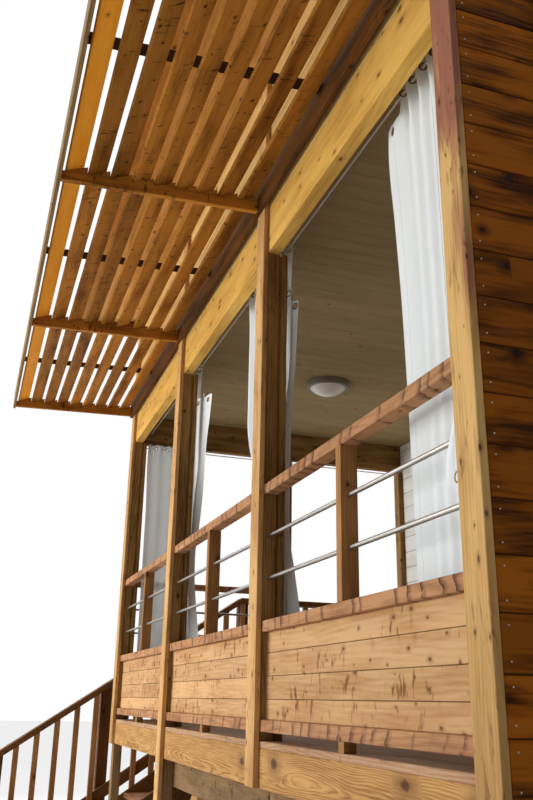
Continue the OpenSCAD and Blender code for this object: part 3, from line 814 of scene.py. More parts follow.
def shown(
    bm: Mesh,
    name: str,
    finish: Finish,
    slot: str,
    nodes: Sequence[str] = (),
    smooth: float | None = None,
) -> bpy.types.Object:
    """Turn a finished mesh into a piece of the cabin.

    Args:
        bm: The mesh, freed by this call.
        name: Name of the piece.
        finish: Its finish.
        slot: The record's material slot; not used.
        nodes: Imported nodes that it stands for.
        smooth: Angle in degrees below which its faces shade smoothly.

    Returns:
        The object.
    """
    mesh = bpy.data.meshes.new(name)
    bm.to_mesh(mesh)
    bm.free()
    if smooth is not None:
        mesh.shade_smooth()
        mesh.set_sharp_from_angle(angle=math.radians(smooth))
    if finish not in FINISHED:
        FINISHED[finish] = finish.material()
    mesh.materials.append(FINISHED[finish])
    piece = placed(name, mesh)
    if nodes:
        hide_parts(*nodes)
    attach(piece, BODY)
    LOG.info("%s: %d faces", name, len(mesh.polygons))
    return piece


def block(low: Vector, high: Vector) -> Mesh:
    """Cut a sharp block.

    Args:
        low: Its lowest corner.
        high: Its highest corner.

    Returns:
        The block.
    """
    bm = bmesh.new()
    fit = Matrix.Translation((low + high) / 2) @ Matrix.Diagonal((*(high - low), 1.0))
    bmesh.ops.create_cube(bm, size=1.0, matrix=fit)
    return bm


def rod(start: Vector, end: Vector, radius: float, ease: float = 0.0) -> Mesh:
    """Cut a round bar.

    Args:
        start: Middle of one end.
        end: Middle of the other end.
        radius: Its radius.
        ease: Width of the bevel round its ends, if any.

    Returns:
        The bar.
    """
    bm = bmesh.new()
    axis = end - start
    turn = Matrix.Translation((start + end) / 2) @ axis.to_track_quat("Z", "Y").to_matrix().to_4x4()
    size = {"radius1": radius, "radius2": radius, "depth": axis.length}
    bmesh.ops.create_cone(bm, cap_ends=True, segments=24, matrix=turn, **size)
    return eased(bm, ease, 2, 60.0) if ease else bm


def turned(profile: Sequence[tuple[float, float]], centre: Vector, axis: Vector, steps: int) -> Mesh:
    """Turn a profile round an axis, as on a lathe.

    Args:
        profile: Distance from the axis and height along it, for each point.
        centre: Foot of the axis.
        axis: Direction of the heights.
        steps: Faces round the shape.

    Returns:
        The turned mesh, with its normals outwards.
    """
    bm = bmesh.new()
    side = axis.orthogonal().normalized()
    verts = [bm.verts.new(centre + side * r + axis * h) for r, h in profile]
    edges = [bm.edges.new(pair) for pair in zip(verts, verts[1:])]
    turn = {"cent": centre, "axis": axis, "angle": math.tau, "steps": steps}
    bmesh.ops.spin(bm, geom=verts + edges, use_merge=True, **turn)
    bmesh.ops.remove_doubles(bm, verts=bm.verts, dist=1e-6)
    bmesh.ops.recalc_face_normals(bm, faces=bm.faces)
    return bm


def spread(low: float, high: float, pitch: float, start: float) -> list[float]:
    """Set out places at a steady pitch.

    Args:
        low: Lowest place.
        high: Highest place.
        pitch: Gap from one place to the next.
        start: A place that they are counted from.

    Returns:
        The places.
    """
    first = math.ceil((low - start) / pitch)
    last = math.floor((high - start) / pitch)
    return [start + k * pitch for k in range(first, last + 1)]


# ---------------------------------------------------------------- the cabin's finishes

# Planed pine under thin oil: pale tan, with curly brown stains and many small knots
PARAPET_PINE = Wood(
    "parapet_pine", "#cfa473", "#ad7a48", knot="#6e4420", mark="#71431d", marks=Marks.SMUDGES,
    mark_share=0.9, stain_mm=(36, 90), stain_cover=0.45, stain_curl=0.3, stain_gap=0.4, ring_mm=20,
    ring_share=0.2, pith_mm=(200, 40), fibre_mm=11, patch=0.4, knot_mm=9, knot_gap_mm=84, knot_share=0.5,
    knot_shape=(0.7, 1.15), rim=0.35, spread=0.12, relief_mm=0.3,
)
# Planed pine trims, oiled: honey tan, with broad clouds and long faint stains
TRIM_PINE = Wood(
    "trim_pine", "#cfa36a", "#a47542", knot="#4a2f18", mark="#6a431d", ring_mm=14, ring_share=0.25,
    pith_mm=(220, 60), fibre_mm=9, knot_mm=7, knot_gap_mm=85, knot_share=0.5, knot_shape=(0.6, 1.2),
    patch=0.55, marks=Marks.SMUDGES, mark_share=0.5, stain_mm=(90, 22), stain_cover=0.46,
)
# The same pine with painted shade: a purplish wash at the top for the shade under the eaves, and duller
# brown towards the bottom
TRIM_PINE_PAINTED_SHADE = replace(
    TRIM_PINE, name="weathered_pine", early="#d4ab6c", late="#a87a45", knot="#472a18", mark="#6a3c26",
    knot_share=0.55, patch=0.6, mark_share=0.6,
    height_washes=((2.7, 3.7, "#8c5549", 0.85), (2.1, 1.2, "#8a6336", 0.65)),
)
# Plain-sawn pine cut near the pith: strong wavy rings that flow round large knots
FASCIA_PINE = Wood(
    "fascia_pine", "#c99a5c", "#8a5c2e", knot="#503220", mark="#6b4526", ring_mm=5.5, ring_share=0.5,
    pith_mm=(40, 45), bend_mm=6, swirl=2.4, knot_mm=26, knot_gap_mm=300, knot_share=0.7,
    knot_shape=(0.6, 1.0), rim=0.5, rim_reach=3.4, fibre_mm=7,
)
# Fresh planed pine beam: bright yellow, with soft grain and dark knots
HEADER_PINE = Wood(
    "header_pine", "#e6b65c", "#b98436", knot="#74481c", mark="#8a5a24", ring_mm=16, ring_share=0.2,
    pith_mm=(220, 60), fibre_mm=9, knot_gap_mm=130, knot_shape=(0.6, 1.1), rim=0.35, patch=0.4,
)
# Stained pine off a coarse saw: reddish brown, crossed by slanting dark saw marks
RAIL_PINE = Wood(
    "rail_pine", "#bb8a60", "#8c5d3c", mark="#3b1b0b", marks=Marks.KERFS, mark_share=0.95,
    mark_gap_mm=85, ring_share=0.3, pith_mm=(200, 50), fibre_mm=6, knot_mm=8, knot_gap_mm=180,
    knot_share=0.4, patch=0.4, spread=0.1,
)
# Brown oiled pine: warm amber in streaks, with dark stains across it and small knots
AWNING_PINE = Wood(
    "awning_pine", "#b1752a", "#70430c", knot="#1d0e03", mark="#2a1604", ring_share=0.25,
    pith_mm=(180, 50), knot_mm=7, knot_gap_mm=95, knot_share=0.5, knot_shape=(0.8, 1.0), rim=0.4,
    rim_reach=2.6, patch=0.6, fibre_mm=6, marks=Marks.SMUDGES, mark_share=0.85, stain_mm=(20, 75),
    stain_cover=0.42, stain_gap=0.3, spread=0.24,
)
# Pine slat with the sun on its back: its glow is painted in as bright orange, with hardly any grain
PAINTED_GLOW_PINE = Wood(
    "glowing_pine", "#ffb63c", "#f08c10", knot="#8a4a0c", mark="#b3620c", ring_share=0.25, knot_mm=10,
    patch=0.3, spread=0.05,
)
# Raw pine boards, made paler to paint in the sunlight on them: pale yellow, with plain brown grain
LIT_PINE = Wood(
    "sunlit_pine", "#e9c07a", "#b98a48", knot="#6b3d16", mark="#7d4c1d", ring_share=0.35,
    pith_mm=(200, 50), fibre_mm=7, knot_mm=10, spread=0.16, patch=0.4,
)
# Brown oiled pine, darkened to paint the awning's shade on it: dark, with long black streaks
LEDGER_PINE = Wood(
    "ledger_pine", "#6d4216", "#3d2208", knot="#1d0e03", mark="#231205", knot_mm=8, patch=0.6,
    fibre_mm=6, marks=Marks.SMUDGES, mark_share=0.8, stain_mm=(120, 20), spread=0.1,
)
# Pine greyed by weather: dull olive tan
EDGE_PINE = Wood("edge_pine", "#8a6e44", "#5f4827", knot_mm=9, patch=0.4)
# Pine under black-brown stain: nearly black, and only its grain shows
DARK_PINE = Wood("dark_pine", "#3a2413", "#24150a", knot="#120a04", mark="#150c05", knot_mm=9)
# Wall boards under thick brown stain: deep brown, amber where the stain ran thin
WALL_PINE = Wood(
    "wall_pine", "#9c5712", "#3a1a04", knot="#100702", mark="#180a03", ring_mm=14, ring_share=0.2,
    pith_mm=(90, 55), bend_mm=8, fibre_mm=11, knot_mm=14, knot_gap_mm=170, knot_shape=(0.8, 1.0),
    rim=0.7, rim_reach=3.8, patch=0.85, spread=0.24, marks=Marks.SMUDGES, mark_share=0.5,
    stain_mm=(260, 42), stain_cover=0.46, stain_curl=0.3, roughness=0.66, sheen=0.08,
)
# Pine under brown stain: dark, each member with a tone of its own
STAIR_PINE = Wood(
    "stair_pine", "#78502a", "#4f3116", knot="#180c04", mark="#2a1606", patch=0.4, spread=0.2,
    marks=Marks.SMUDGES, mark_share=0.5,
)
# Trodden pine planks: pale pinkish brown, dusty and slightly stained
DECK_PINE = Wood(
    "deck_pine", "#c09a78", "#98704e", mark="#4f3420", marks=Marks.SMUDGES, mark_share=0.4, knot_mm=11,
    spread=0.12,
)
# Rough-sawn pine beams low under the deck: grey brown, blotched by damp
BEARER_PINE = Wood(
    "bearer_pine", "#94744e", "#6b4f31", mark="#3a2616", marks=Marks.SMUDGES, mark_share=0.7,
    stain_mm=(40, 90), patch=0.45, fibre_mm=6, spread=0.15,
)
# Rough pine posts in the shade: dull olive brown, with a few dark streaks; on the side header it is painted
# shade
POST_PINE = Wood(
    "post_pine", "#a07a46", "#6a4b24", knot="#26140a", mark="#38200f", knot_mm=9, knot_gap_mm=150,
    patch=0.5, fibre_mm=7, marks=Marks.SMUDGES, mark_share=0.4, stain_mm=(80, 30),
)
# Planed pine under brown oil: warm mid brown, with clear rings
BALUSTER_PINE = Wood(
    "baluster_pine", "#a97a48", "#7a5029", knot="#38200f", mark="#4f2e14", knot_mm=11, knot_gap_mm=150,
    patch=0.45, fibre_mm=7,
)
# Limed pine boards: greyish cream, all of nearly one tone
CEILING_PINE = Wood(
    "ceiling_pine", "#ab976e", "#958058", knot="#5b4a30", mark="#6d5838", ring_share=0.2, knot_mm=7,
    spread=0.05, patch=0.3, dirt=0.1,
)
# White oil paint, brushed: creamy white with soft gloss, greyer where it wears
WHITE_PAINT = Paint("brushed_white_paint", "#eceae4", "#d3cfc4")
# Brushed stainless steel: bright grey with blurred reflections
STEEL = Metal("brushed_steel", "#b5b1ab", "#8f8a83", roughness=0.34)
# White stove enamel on steel: smooth and clean, with no metal shine
WHITE_METAL = Metal("white_enamelled_steel", "#e4e1da", "#c9c4b9", metallic=0.0, roughness=0.35)
# Grey stove enamel on steel: the same skin in a warm mid grey
LAMP_GREY = Metal("grey_enamelled_steel", "#8b857a", "#736d62", metallic=0.0, roughness=0.4)
# Bronze eyelets gone dull: brown metal with a weak shine
BRONZE = Metal("dull_bronze", "#8d7a64", "#5c4c3c", roughness=0.45)
# Zinc-coated steel bolts and nails: pale grey, half metal and half chalky
GALVANISED = Metal("galvanised_steel", "#bdb9b0", "#97928a", metallic=0.35, roughness=0.5)
# Roof sheet with a matt dark grey coat, slightly grainy
ROOF_SHEET = Metal("coated_roof_sheet", "#4d4a45", "#3d3a36", metallic=0.0, roughness=0.5, grain_mm=6.0)
# Float glass: clear, faintly green, with slightly wavy reflections
CLEAR = Glass("window_glass", "#eef4f2")
# Moulded opal acrylic: milky white under a glossy skin
OPAL = Opal("opal_acrylic", "#f1eee6")
# Plain woven white cotton: matt, cool white, and light comes through it
COTTON = Weave("white_cotton", "#f1f7f8", "#e3e9e9")
# Pale matt studio floor
FLOOR = Floor("pale_floor", "#f2f1ee")


# ---------------------------------------------------------------- sub-assemblies


@dataclass
class Timber:
    """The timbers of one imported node: sawn, eased and given their grain."""

    node: str
    finish: Wood | Paint
    slot: str
    rip_axis: Axis | None = None
    rips: Sequence[float] = ()
    butt_axis: Axis | None = None
    butts: Sequence[float] = ()
    butt_share: float = 0.6
    whole: bool = False
    ease: float = 0.003
    segments: int = 1
    along: Axis | None = None
    play: float = 0.0
    name: str = ""
    keep: tuple[Axis, float, float] = (Axis.DEPTH, -math.inf, math.inf)

    def build(self) -> bpy.types.Object:
        """Saw, ease and dress the timbers.

        Returns:
            The piece that stands for the node.
        """
        name = self.name or self.node
        rng = random.Random(name)
        whole = copy_of(self.node)
        axis, start, end = self.keep
        for solid in islands(whole):
            if not start < sum(box_of(solid), Vector())[axis.value] / 2 < end:
                bmesh.ops.delete(whole, geom=solid, context="VERTS")
        parts, joints = [whole], []
        if self.rip_axis:
            parts = slabs(whole, self.rip_axis, self.rips)
            joints += [(self.rip_axis, place) for place in self.rips]
        if self.butt_axis:
            sawn = []
            for part in parts:
                one = [rng.choice(self.butts)] if rng.random() < self.butt_share else []
                sawn += slabs(part, self.butt_axis, self.butts if self.whole else one)
            parts = sawn
            joints += [(self.butt_axis, place) for place in self.butts]
        bm = joined(eased(part, self.ease, self.segments) for part in parts)
        bm.normal_update()
        grained(bm, rng, joints, self.along, self.play)
        return shown(bm, f"{name}_sawn", self.finish, self.slot, [self.node])


@dataclass
class PorchFront:
    """Trims, posts, headers and the boarded wall above them."""

    deck: float
    ease: float = 0.004
    board_pitch: float = 0.142
    first_board: float = 0.06
    bolt_radius: float = 0.011
    bolt_heights: tuple[float, ...] = (-0.261, -0.212)

    def build(self) -> None:
        """Build the porch's uprights, headers and upper wall."""
        last = solids_of("front_trims")[-1][0].x
        edges = {"ease": self.ease, "segments": 2}
        # The end trim takes the finish with painted shade at its top
        for name, finish, span in (
            ("front_trims", TRIM_PINE, (-math.inf, last)),
            ("end_trim", TRIM_PINE_PAINTED_SHADE, (last, math.inf)),
        ):
            keep = (Axis.LENGTH, *span)
            Timber("front_trims", finish, "warm_wood", name=name, keep=keep, **edges).build()
        Timber("inner_trims", POST_PINE, "grey_wood", ease=self.ease).build()
        Timber("posts", POST_PINE, "grey_wood", ease=self.ease).build()
        Timber("header_front", HEADER_PINE, "yellow_wood", **edges).build()
        # The side header takes the darker post finish as painted shade
        Timber("header_left", POST_PINE, "yellow_wood", ease=self.ease).build()
        low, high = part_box("front_upper_wall")
        boards = {
            "rip_axis": Axis.HEIGHT,
            "rips": spread(low.z, high.z, self.board_pitch, low.z + self.first_board),
            "along": Axis.LENGTH,
        }
        # The upper wall's pale finish is painted sunlight
        Timber("front_upper_wall", LIT_PINE, "warm_wood", **boards).build()
        self.bolts()

    def bolts(self) -> None:
        """Bolt the trims to the deck's frame."""
        r = self.bolt_radius
        head = [(r, 0.0), (r, 0.002), (r * 0.6, 0.005), (0.0, 0.006)]
        parts = []
        for low, high in solids_of("front_trims"):
            for rise in self.bolt_heights:
                if self.deck + rise > low.z:
                    place = Vector(((low.x + high.x) / 2, low.y, self.deck + rise))
                    parts.append(turned(head, place, -Axis.DEPTH.vector(), 16))
        shown(joined(parts), "trim_bolts", GALVANISED, "steel", smooth=40)


@dataclass
class Awning:
    """Notched rafters that carry the slats, between a ledger and an edge board."""

    ease: float = 0.0025

    def build(self) -> None:
        """Build the awning."""
        rafters = [(low.x + high.x) / 2 for low, high in solids_of("awning_rafters")]
        outer = min(high.y for _, high in solids_of("awning_slats"))
        # The ledger's dark finish carries painted shade from the awning
        Timber("awning_ledger", LEDGER_PINE, "red_wood", ease=self.ease).build()
        Timber("awning_rafters", AWNING_PINE, "warm_wood", ease=self.ease, along=Axis.DEPTH).build()
        joints = {"butt_axis": Axis.LENGTH, "butts": rafters[1:-1], "whole": True, "ease": self.ease}
        for name, finish, span in (
            ("awning_slats", AWNING_PINE, (outer, math.inf)),
            # The outermost slat gets the painted glow of the sun through it
            ("awning_outer_slat", PAINTED_GLOW_PINE, (-math.inf, outer)),
        ):
            keep = (Axis.DEPTH, *span)
            Timber("awning_slats", finish, "warm_wood", name=name, keep=keep, **joints).build()
        Timber("awning_battens", DARK_PINE, "red_wood", ease=self.ease).build()
        Timber("awning_edge_board", EDGE_PINE, "warm_wood", ease=self.ease).build()


@dataclass
class Parapets:
    """Boards between a cap and a bottom rail, with steel rods and a handrail above them."""

    deck: float
    joints: tuple[float, ...] = (0.1656, 0.2585, 0.3546)
    ease: float = 0.0025
    play: float = 0.0012

    def build(self) -> None:
        """Build the parapets and the guard rods."""
        boards = {"rip_axis": Axis.HEIGHT, "rips": [self.deck + z for z in self.joints]}
        Timber("parapets", PARAPET_PINE, "warm_wood", ease=self.ease, play=self.play, **boards).build()
        Timber("parapet_rails", RAIL_PINE, "red_wood", ease=0.004, segments=2).build()
        Timber("handrails", RAIL_PINE, "red_wood", ease=0.005, segments=2).build()
        Timber("balusters", BALUSTER_PINE, "warm_wood").build()
        self.rods()

    def rods(self) -> None:
        """Build the steel rods."""
        parts = []
        for low, high in solids_of("guard_rods"):
            size, middle = high - low, (low + high) / 2
            axis = Axis.LENGTH if size.x > size.y else Axis.DEPTH
            half = axis.vector() * (size[axis.value] / 2)
            parts.append(rod(middle - half, middle + half, size.z / 2))
        shown(joined(parts), "guard_rods_drawn", STEEL, "steel", ["guard_rods"], 40)


@dataclass
class DeckFrame:
    """Deck boards on joists, bearers and stilts, with knee braces and fascia boards."""

    board_pitch: float = 0.1205
    least_board: float = 0.01

    def build(self) -> None:
        """Build the deck and what carries it."""
        low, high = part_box("decks")
        joists = [(a.x + b.x) / 2 for a, b in solids_of("joists")]
        boards = {
            "rip_axis": Axis.DEPTH,
            "rips": spread(low.y + self.least_board, high.y, self.board_pitch, low.y),
            "butt_axis": Axis.LENGTH,
            "butts": joists[2:-1],
            "along": Axis.LENGTH,
        }
        Timber("decks", DECK_PINE, "grey_wood", **boards).build()
        Timber("joists", DECK_PINE, "grey_wood").build()
        Timber("bearers", BEARER_PINE, "grey_wood", ease=0.004).build()
        Timber("stilts", BEARER_PINE, "grey_wood", ease=0.005, segments=2).build()
        Timber("knee_braces", FASCIA_PINE, "yellow_wood", ease=0.004).build()
        Timber("fascia_boards", FASCIA_PINE, "yellow_wood").build()


@dataclass
class Walls:
    """Boarded walls with nail heads, cover strips and the white porch wall."""

    deck: float
    board_pitch: float = 0.14245
    first_joint: float = 0.0860
    nail_radius: float = 0.0027
    nail_gap: float = 0.0425
    stud_pitch: float = 0.604
    edge_gap: float = 0.0241
    clear: float = 0.02

    def build(self) -> None:
        """Build the walls."""
        low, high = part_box("right_wall")
        joints = spread(low.z, high.z, self.board_pitch, self.deck + self.first_joint)
        boards = {"rip_axis": Axis.HEIGHT, "rips": joints}
        length, depth = Axis.LENGTH.vector(), Axis.DEPTH.vector()
        heads = []
        for node, out in (("right_wall", length), ("left_wall", -length), ("back_wall", depth)):
            heads += self.nails(node, out, joints)
            Timber(node, WALL_PINE, "dark_wood", ease=0.004, play=0.001, **boards).build()
        Timber("porch_wall", WHITE_PAINT, "white_wood", ease=0.005, play=0.0008, **boards).build()
        Timber("cover_strips", BALUSTER_PINE, "red_wood").build()
        shown(joined(heads), "wall_nails", GALVANISED, "steel")

    def nails(self, node: str, out: Vector, joints: Sequence[float]) -> list[Mesh]:
        """Drive two nails into each board of a wall at every stud.

        Args:
            node: The wall.
            out: Direction that the wall faces.
            joints: Heights of the joints between its boards.

        Returns:
            The nails' heads.
        """
        solid = copy_of(node)
        tree = BVHTree.FromBMesh(solid)
        solid.free()
        low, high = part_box(node)
        along, up = Vector((abs(out.y), abs(out.x), 0.0)), Axis.HEIGHT.vector()
        face = high.dot(out) if out.x + out.y > 0 else low.dot(out)
        start, end = low.dot(along) + self.edge_gap, high.dot(along) - self.edge_gap
        heights = [z + self.board_pitch / 2 + gap for z in joints for gap in (-self.nail_gap, self.nail_gap)]
        profile = [(self.nail_radius, -0.001), (self.nail_radius * 0.9, 0.0003), (0.0, 0.0007)]
        reach, heads = (-self.clear, self.clear), []
        for place in spread(start, end, self.stud_pitch, start):
            for z in heights:
                at = out * face + along * place + up * z
                # A nail needs wall behind it and all round it
                starts = [at + along * a + up * b + out * 0.01 for a in reach for b in reach]
                if all(tree.ray_cast(corner, -out, 0.011)[0] for corner in starts):
                    heads.append(turned(profile, at + out * 0.0008, out, 8))
        return heads


@dataclass
class Glazing:
    """Frames, sashes and panes of the windows, and the porch door with its fittings."""

    stile: float = 0.034
    sash_depth: float = 0.03
    bar_width: float = 0.018
    bar_depth: float = 0.0225
    panel_depth: float = 0.012
    panel_margin: tuple[float, float] = (0.12, 0.13)
    field_margin: float = 0.045
    field_rise: float = 0.006
    handle_height: float = 1.02
    handle_gap: float = 0.055
    lock_drop: float = 0.08
    rose: tuple[tuple[float, float], ...] = ((0.0, 0.007), (0.022, 0.007), (0.026, 0.004), (0.026, 0.0))
    stem: float = 0.048
    stem_radius: float = 0.008
    lever: float = 0.125
    lever_gap: float = 0.045
    lever_radius: float = 0.009
    hinge: float = 0.09
    hinge_radius: float = 0.006
    hinge_place: tuple[float, float] = (0.001, -0.005)
    hinge_heights: tuple[float, ...] = (0.2, 1.0, 1.75)

    def build(self) -> None:
        """Build the windows and the door."""
        Timber("window_frames", WHITE_PAINT, "white_wood", segments=2).build()
        Timber("porch_door", WHITE_PAINT, "white_wood", segments=2, along=Axis.HEIGHT).build()
        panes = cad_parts["window_panes"]
        panes.data.materials.clear()
        panes.data.materials.append(CLEAR.material())
        bm = joined(self.sash(low, high) for low, high in solids_of("window_panes"))
        grained(bm, random.Random("sashes"))
        shown(bm, "window_sashes", WHITE_PAINT, "white_wood")
        self.door_panel()
        self.fittings()

    def sash(self, low: Vector, high: Vector) -> Mesh:
        """Frame one pane, with two glazing bars that cross.

        Args:
            low: Lowest corner of the pane.
            high: Highest corner of the pane.

        Returns:
            The sash.
        """
        thin = 0 if high.x - low.x < high.y - low.y else 1
        middle, stiles, bars = (low + high) / 2, [], []
        for axis in (1 - thin, 2):
            stiles.append((axis, low[axis], low[axis] + self.stile, self.sash_depth))
            stiles.append((axis, high[axis] - self.stile, high[axis], self.sash_depth))
            half = self.bar_width / 2
            bars.append((axis, middle[axis] - half, middle[axis] + half, self.bar_depth))
        parts = []
        for axis, start, end, depth in stiles + bars:
            p, q = low.copy(), high.copy()
            p[thin], q[thin] = middle[thin] - depth / 2, middle[thin] + depth / 2
            p[axis], q[axis] = start, end
            parts.append(eased(block(p, q), 0.002, 2))
        return joined(parts)

    def door_panel(self) -> None:
        """Raise a fielded panel below the door's glazing, on both faces."""
        low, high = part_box("porch_door")
        top = min(b[0].z for b in solids_of("window_panes"))
        side_gap, end_gap = self.panel_margin
        parts = []
        for face, side in ((low.y, -1), (high.y, 1)):
            middle = face + side * 0.004
            bm = block(
                Vector((low.x + side_gap, middle - self.panel_depth / 2, low.z + end_gap)),
                Vector((high.x - side_gap, middle + self.panel_depth / 2, top - end_gap)),
            )
            outer = [f for f in bm.faces if f.normal.y * side > 0.9]
            bmesh.ops.inset_region(bm, faces=outer, thickness=self.field_margin, depth=self.field_rise)
            parts.append(eased(bm, 0.0015, 2, 10.0))
        bm = joined(parts)
        grained(bm, random.Random("door"), along=Axis.HEIGHT)
        shown(bm, "door_panels", WHITE_PAINT, "white_wood")

    def fittings(self) -> None:
        """Add the door's lever handles, lock plates and hinges."""
        low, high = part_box("porch_door")
        x, z = high.x - self.handle_gap, low.z + self.handle_height
        along, up = Axis.LENGTH.vector(), Axis.HEIGHT.vector()
        parts = []
        for face, side in ((low.y, -1.0), (high.y, 1.0)):
            out, at = Axis.DEPTH.vector() * side, Vector((x, face, z))
            parts += [turned(self.rose, foot, out, 32) for foot in (at, at - up * self.lock_drop)]
            parts.append(rod(at, at + out * self.stem, self.stem_radius))
            grip = at + out * self.lever_gap
            start, end = grip + along * self.stem_radius, grip - along * self.lever
            parts.append(rod(start, end, self.lever_radius, 0.003))
        for rise in self.hinge_heights:
            knuckle = low + Vector((*self.hinge_place, rise))
            parts.append(rod(knuckle, knuckle + up * self.hinge, self.hinge_radius, 0.001))
        shown(joined(parts), "door_fittings", STEEL, "steel", smooth=40)


@dataclass
class Roof:
    """Sheeted roof with raised seams on a boarded underside, ceiling and barge boards."""

    pitch: float = math.radians(12.0)
    seam_pitch: float = 0.42
    seam_width: float = 0.02
    seam_height: float = 0.024
    seam_sink: float = 0.004
    seam_end: float = 0.11
    seam_inset: tuple[float, float] = (0.05, 0.03)
    ceiling_pitch: float = 0.1
    lining: float = 0.02
    lining_pitch: float = 0.14
    least_board: float = 0.01

    def build(self) -> None:
        """Build the roof and the ceiling."""
        low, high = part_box("porch_ceiling")
        boards = {
            "rip_axis": Axis.LENGTH,
            "rips": spread(low.x, high.x, self.ceiling_pitch, low.x),
            "along": Axis.DEPTH,
        }
        Timber("porch_ceiling", CEILING_PINE, "grey_wood", ease=0.0015, **boards).build()
        Timber("barge_boards", STAIR_PINE, "dark_wood").build()
        for node, side in (("roof_front", -1), ("roof_back", 1)):
            self.slope(node, side)
        cap = eased(copy_of("ridge_cap"), 0.002, 2, 5.0)
        shown(cap, "ridge_cap_folded", ROOF_SHEET, "roofing", ["ridge_cap"], 20)

    def slope(self, node: str, side: int) -> None:
        """Build one slope: sheet and seams above, boards below.

        Args:
            node: The slope's solid.
            side: -1 for the front slope and 1 for the back one.
        """
        low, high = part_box(node)
        eave, ridge = (low.y, high.y) if side < 0 else (high.y, low.y)
        up = Vector((0.0, side * math.sin(self.pitch), math.cos(self.pitch)))
        level = Vector((0.0, eave, low.z)) + up * self.lining
        solid = copy_of(node)
        boards, sheet = behind(solid, level, up), behind(solid, level, -up)
        solid.free()
        rips = spread(low.y + self.least_board, high.y, self.lining_pitch, low.y)
        bm = joined(eased(part, 0.003) for part in slabs(boards, Axis.DEPTH, rips))
        grained(bm, random.Random(node), [(Axis.DEPTH, y) for y in rips], Axis.LENGTH)
        # The lining's pale finish is painted sunlight, where it shows through the awning
        shown(bm, f"{node}_lining", LIT_PINE, "warm_wood", [node])
        parts = [eased(sheet, 0.004, 2)]
        span, half = abs(ridge - eave), self.seam_width / 2
        run = span / math.cos(self.pitch) / 2
        turn = Matrix.Rotation(-side * self.pitch, 4, "X")
        if side > 0:
            turn = turn @ Matrix.Rotation(math.pi, 4, "Z")
        height = high.z - span / 2 * math.tan(self.pitch)
        first, last = low.x + self.seam_inset[0], high.x - self.seam_inset[1]
        for x in spread(first, last, self.seam_pitch, first):
            rib = block(
                Vector((-half, -run, -self.seam_sink)), Vector((half, run - self.seam_end, self.seam_height))
            )
            place = Matrix.Translation((x, (eave + ridge) / 2, height))
            bmesh.ops.transform(eased(rib, 0.003, 2), matrix=place @ turn, verts=rib.verts)
            parts.append(rib)
        shown(joined(parts), f"{node}_sheet", ROOF_SHEET, "roofing", [node], 25)


@dataclass
class Lamps:
    """Round ceiling lamps: a grey enamelled base with a rolled rim, and an opal dome."""

    roll: float = 0.005
    step: float = 0.006
    step_share: tuple[float, float] = (0.55, 0.6)
    seat: float = 0.98
    rings: int = 20
    faces: int = 72

    def build(self) -> None:
        """Build the lamps."""
        bases = self.turn("lamp_bases", self.base)
        shown(bases, "lamp_bases_turned", LAMP_GREY, "white_metal", ["lamp_bases"], 35)
        domes = self.turn("lamp_domes", self.dome)
        shown(domes, "lamp_domes_moulded", OPAL, "opal", ["lamp_domes"], 35)

    def turn(self, node: str, profile: Callable[[float, float], list[tuple[float, float]]]) -> Mesh:
        """Turn one part of every lamp.

        Args:
            node: The parts' node.
            profile: Gives a part's profile from its radius and its depth.

        Returns:
            The turned parts.
        """
        parts = []
        for low, high in solids_of(node):
            points = profile((high.x - low.x) / 2, high.z - low.z)
            centre = Vector(((low.x + high.x) / 2, (low.y + high.y) / 2, high.z))
            parts.append(turned(points, centre, -Axis.HEIGHT.vector(), self.faces))
        return joined(parts)

    def base(self, radius: float, depth: float) -> list[tuple[float, float]]:
        """Draw the base: a rolled rim, and a step in to a narrower foot.

        Args:
            radius: Its radius.
            depth: Its depth.

        Returns:
            Radius and depth of each point.
        """
        r, inner = self.roll, radius - self.step
        ledge, foot = (depth * share for share in self.step_share)
        rim = [(0.0, 0.0), (radius - r, 0.0), (radius, r), (radius, ledge)]
        return [*rim, (inner, foot), (inner, depth - r), (inner - r, depth), (0.0, depth)]

    def dome(self, radius: float, depth: float) -> list[tuple[float, float]]:
        """Draw the dome: a cap of a sphere on a flat seat.

        Args:
            radius: Its radius.
            depth: Its depth.

        Returns:
            Radius and depth of each point.
        """
        sphere = (radius * radius + depth * depth) / (2 * depth)
        widest = math.asin(radius / sphere)
        angles = [widest * (1 - k / self.rings) for k in range(self.rings + 1)]
        arc = [(sphere * math.sin(a), sphere * (math.cos(a) - math.cos(widest))) for a in angles]
        return [(0.0, 0.0), (radius * self.seat, 0.0), *arc]


def between(stops: Run, at: float, soft: bool = True) -> float:
    """Read a run of stops at a place.

    Args:
        stops: Places and values, in order.
        at: The place.
        soft: Whether the value flows through the stops without a kink or an overshoot.

    Returns:
        The value, which stays the same before the first stop and after the last one.
    """
    if at <= stops[0][0] or at >= stops[-1][0]:
        return stops[0 if at <= stops[0][0] else -1][1]
    slopes = [(b[1] - a[1]) / (b[0] - a[0]) for a, b in zip(stops, stops[1:])]
    number = next(k for k in range(len(slopes)) if at <= stops[k + 1][0])
    (start, low), (end, high) = stops[number], stops[number + 1]
    share = (at - start) / (end - start)
    if not soft:
        return low + (high - low) * share
    tilts = []
    for k in (number, number + 1):
        a, b = (slopes[k - 1], slopes[k]) if 0 < k < len(slopes) else (0.0, 0.0)
        tilts.append(2 * a * b / (a + b) if a * b > 0 else 0.0)
    rest = 1 - share
    value = low * (1 + 2 * share) * rest**2 + high * (3 - 2 * share) * share**2
    return value + (end - start) * share * rest * (rest * tilts[0] - share * tilts[1])


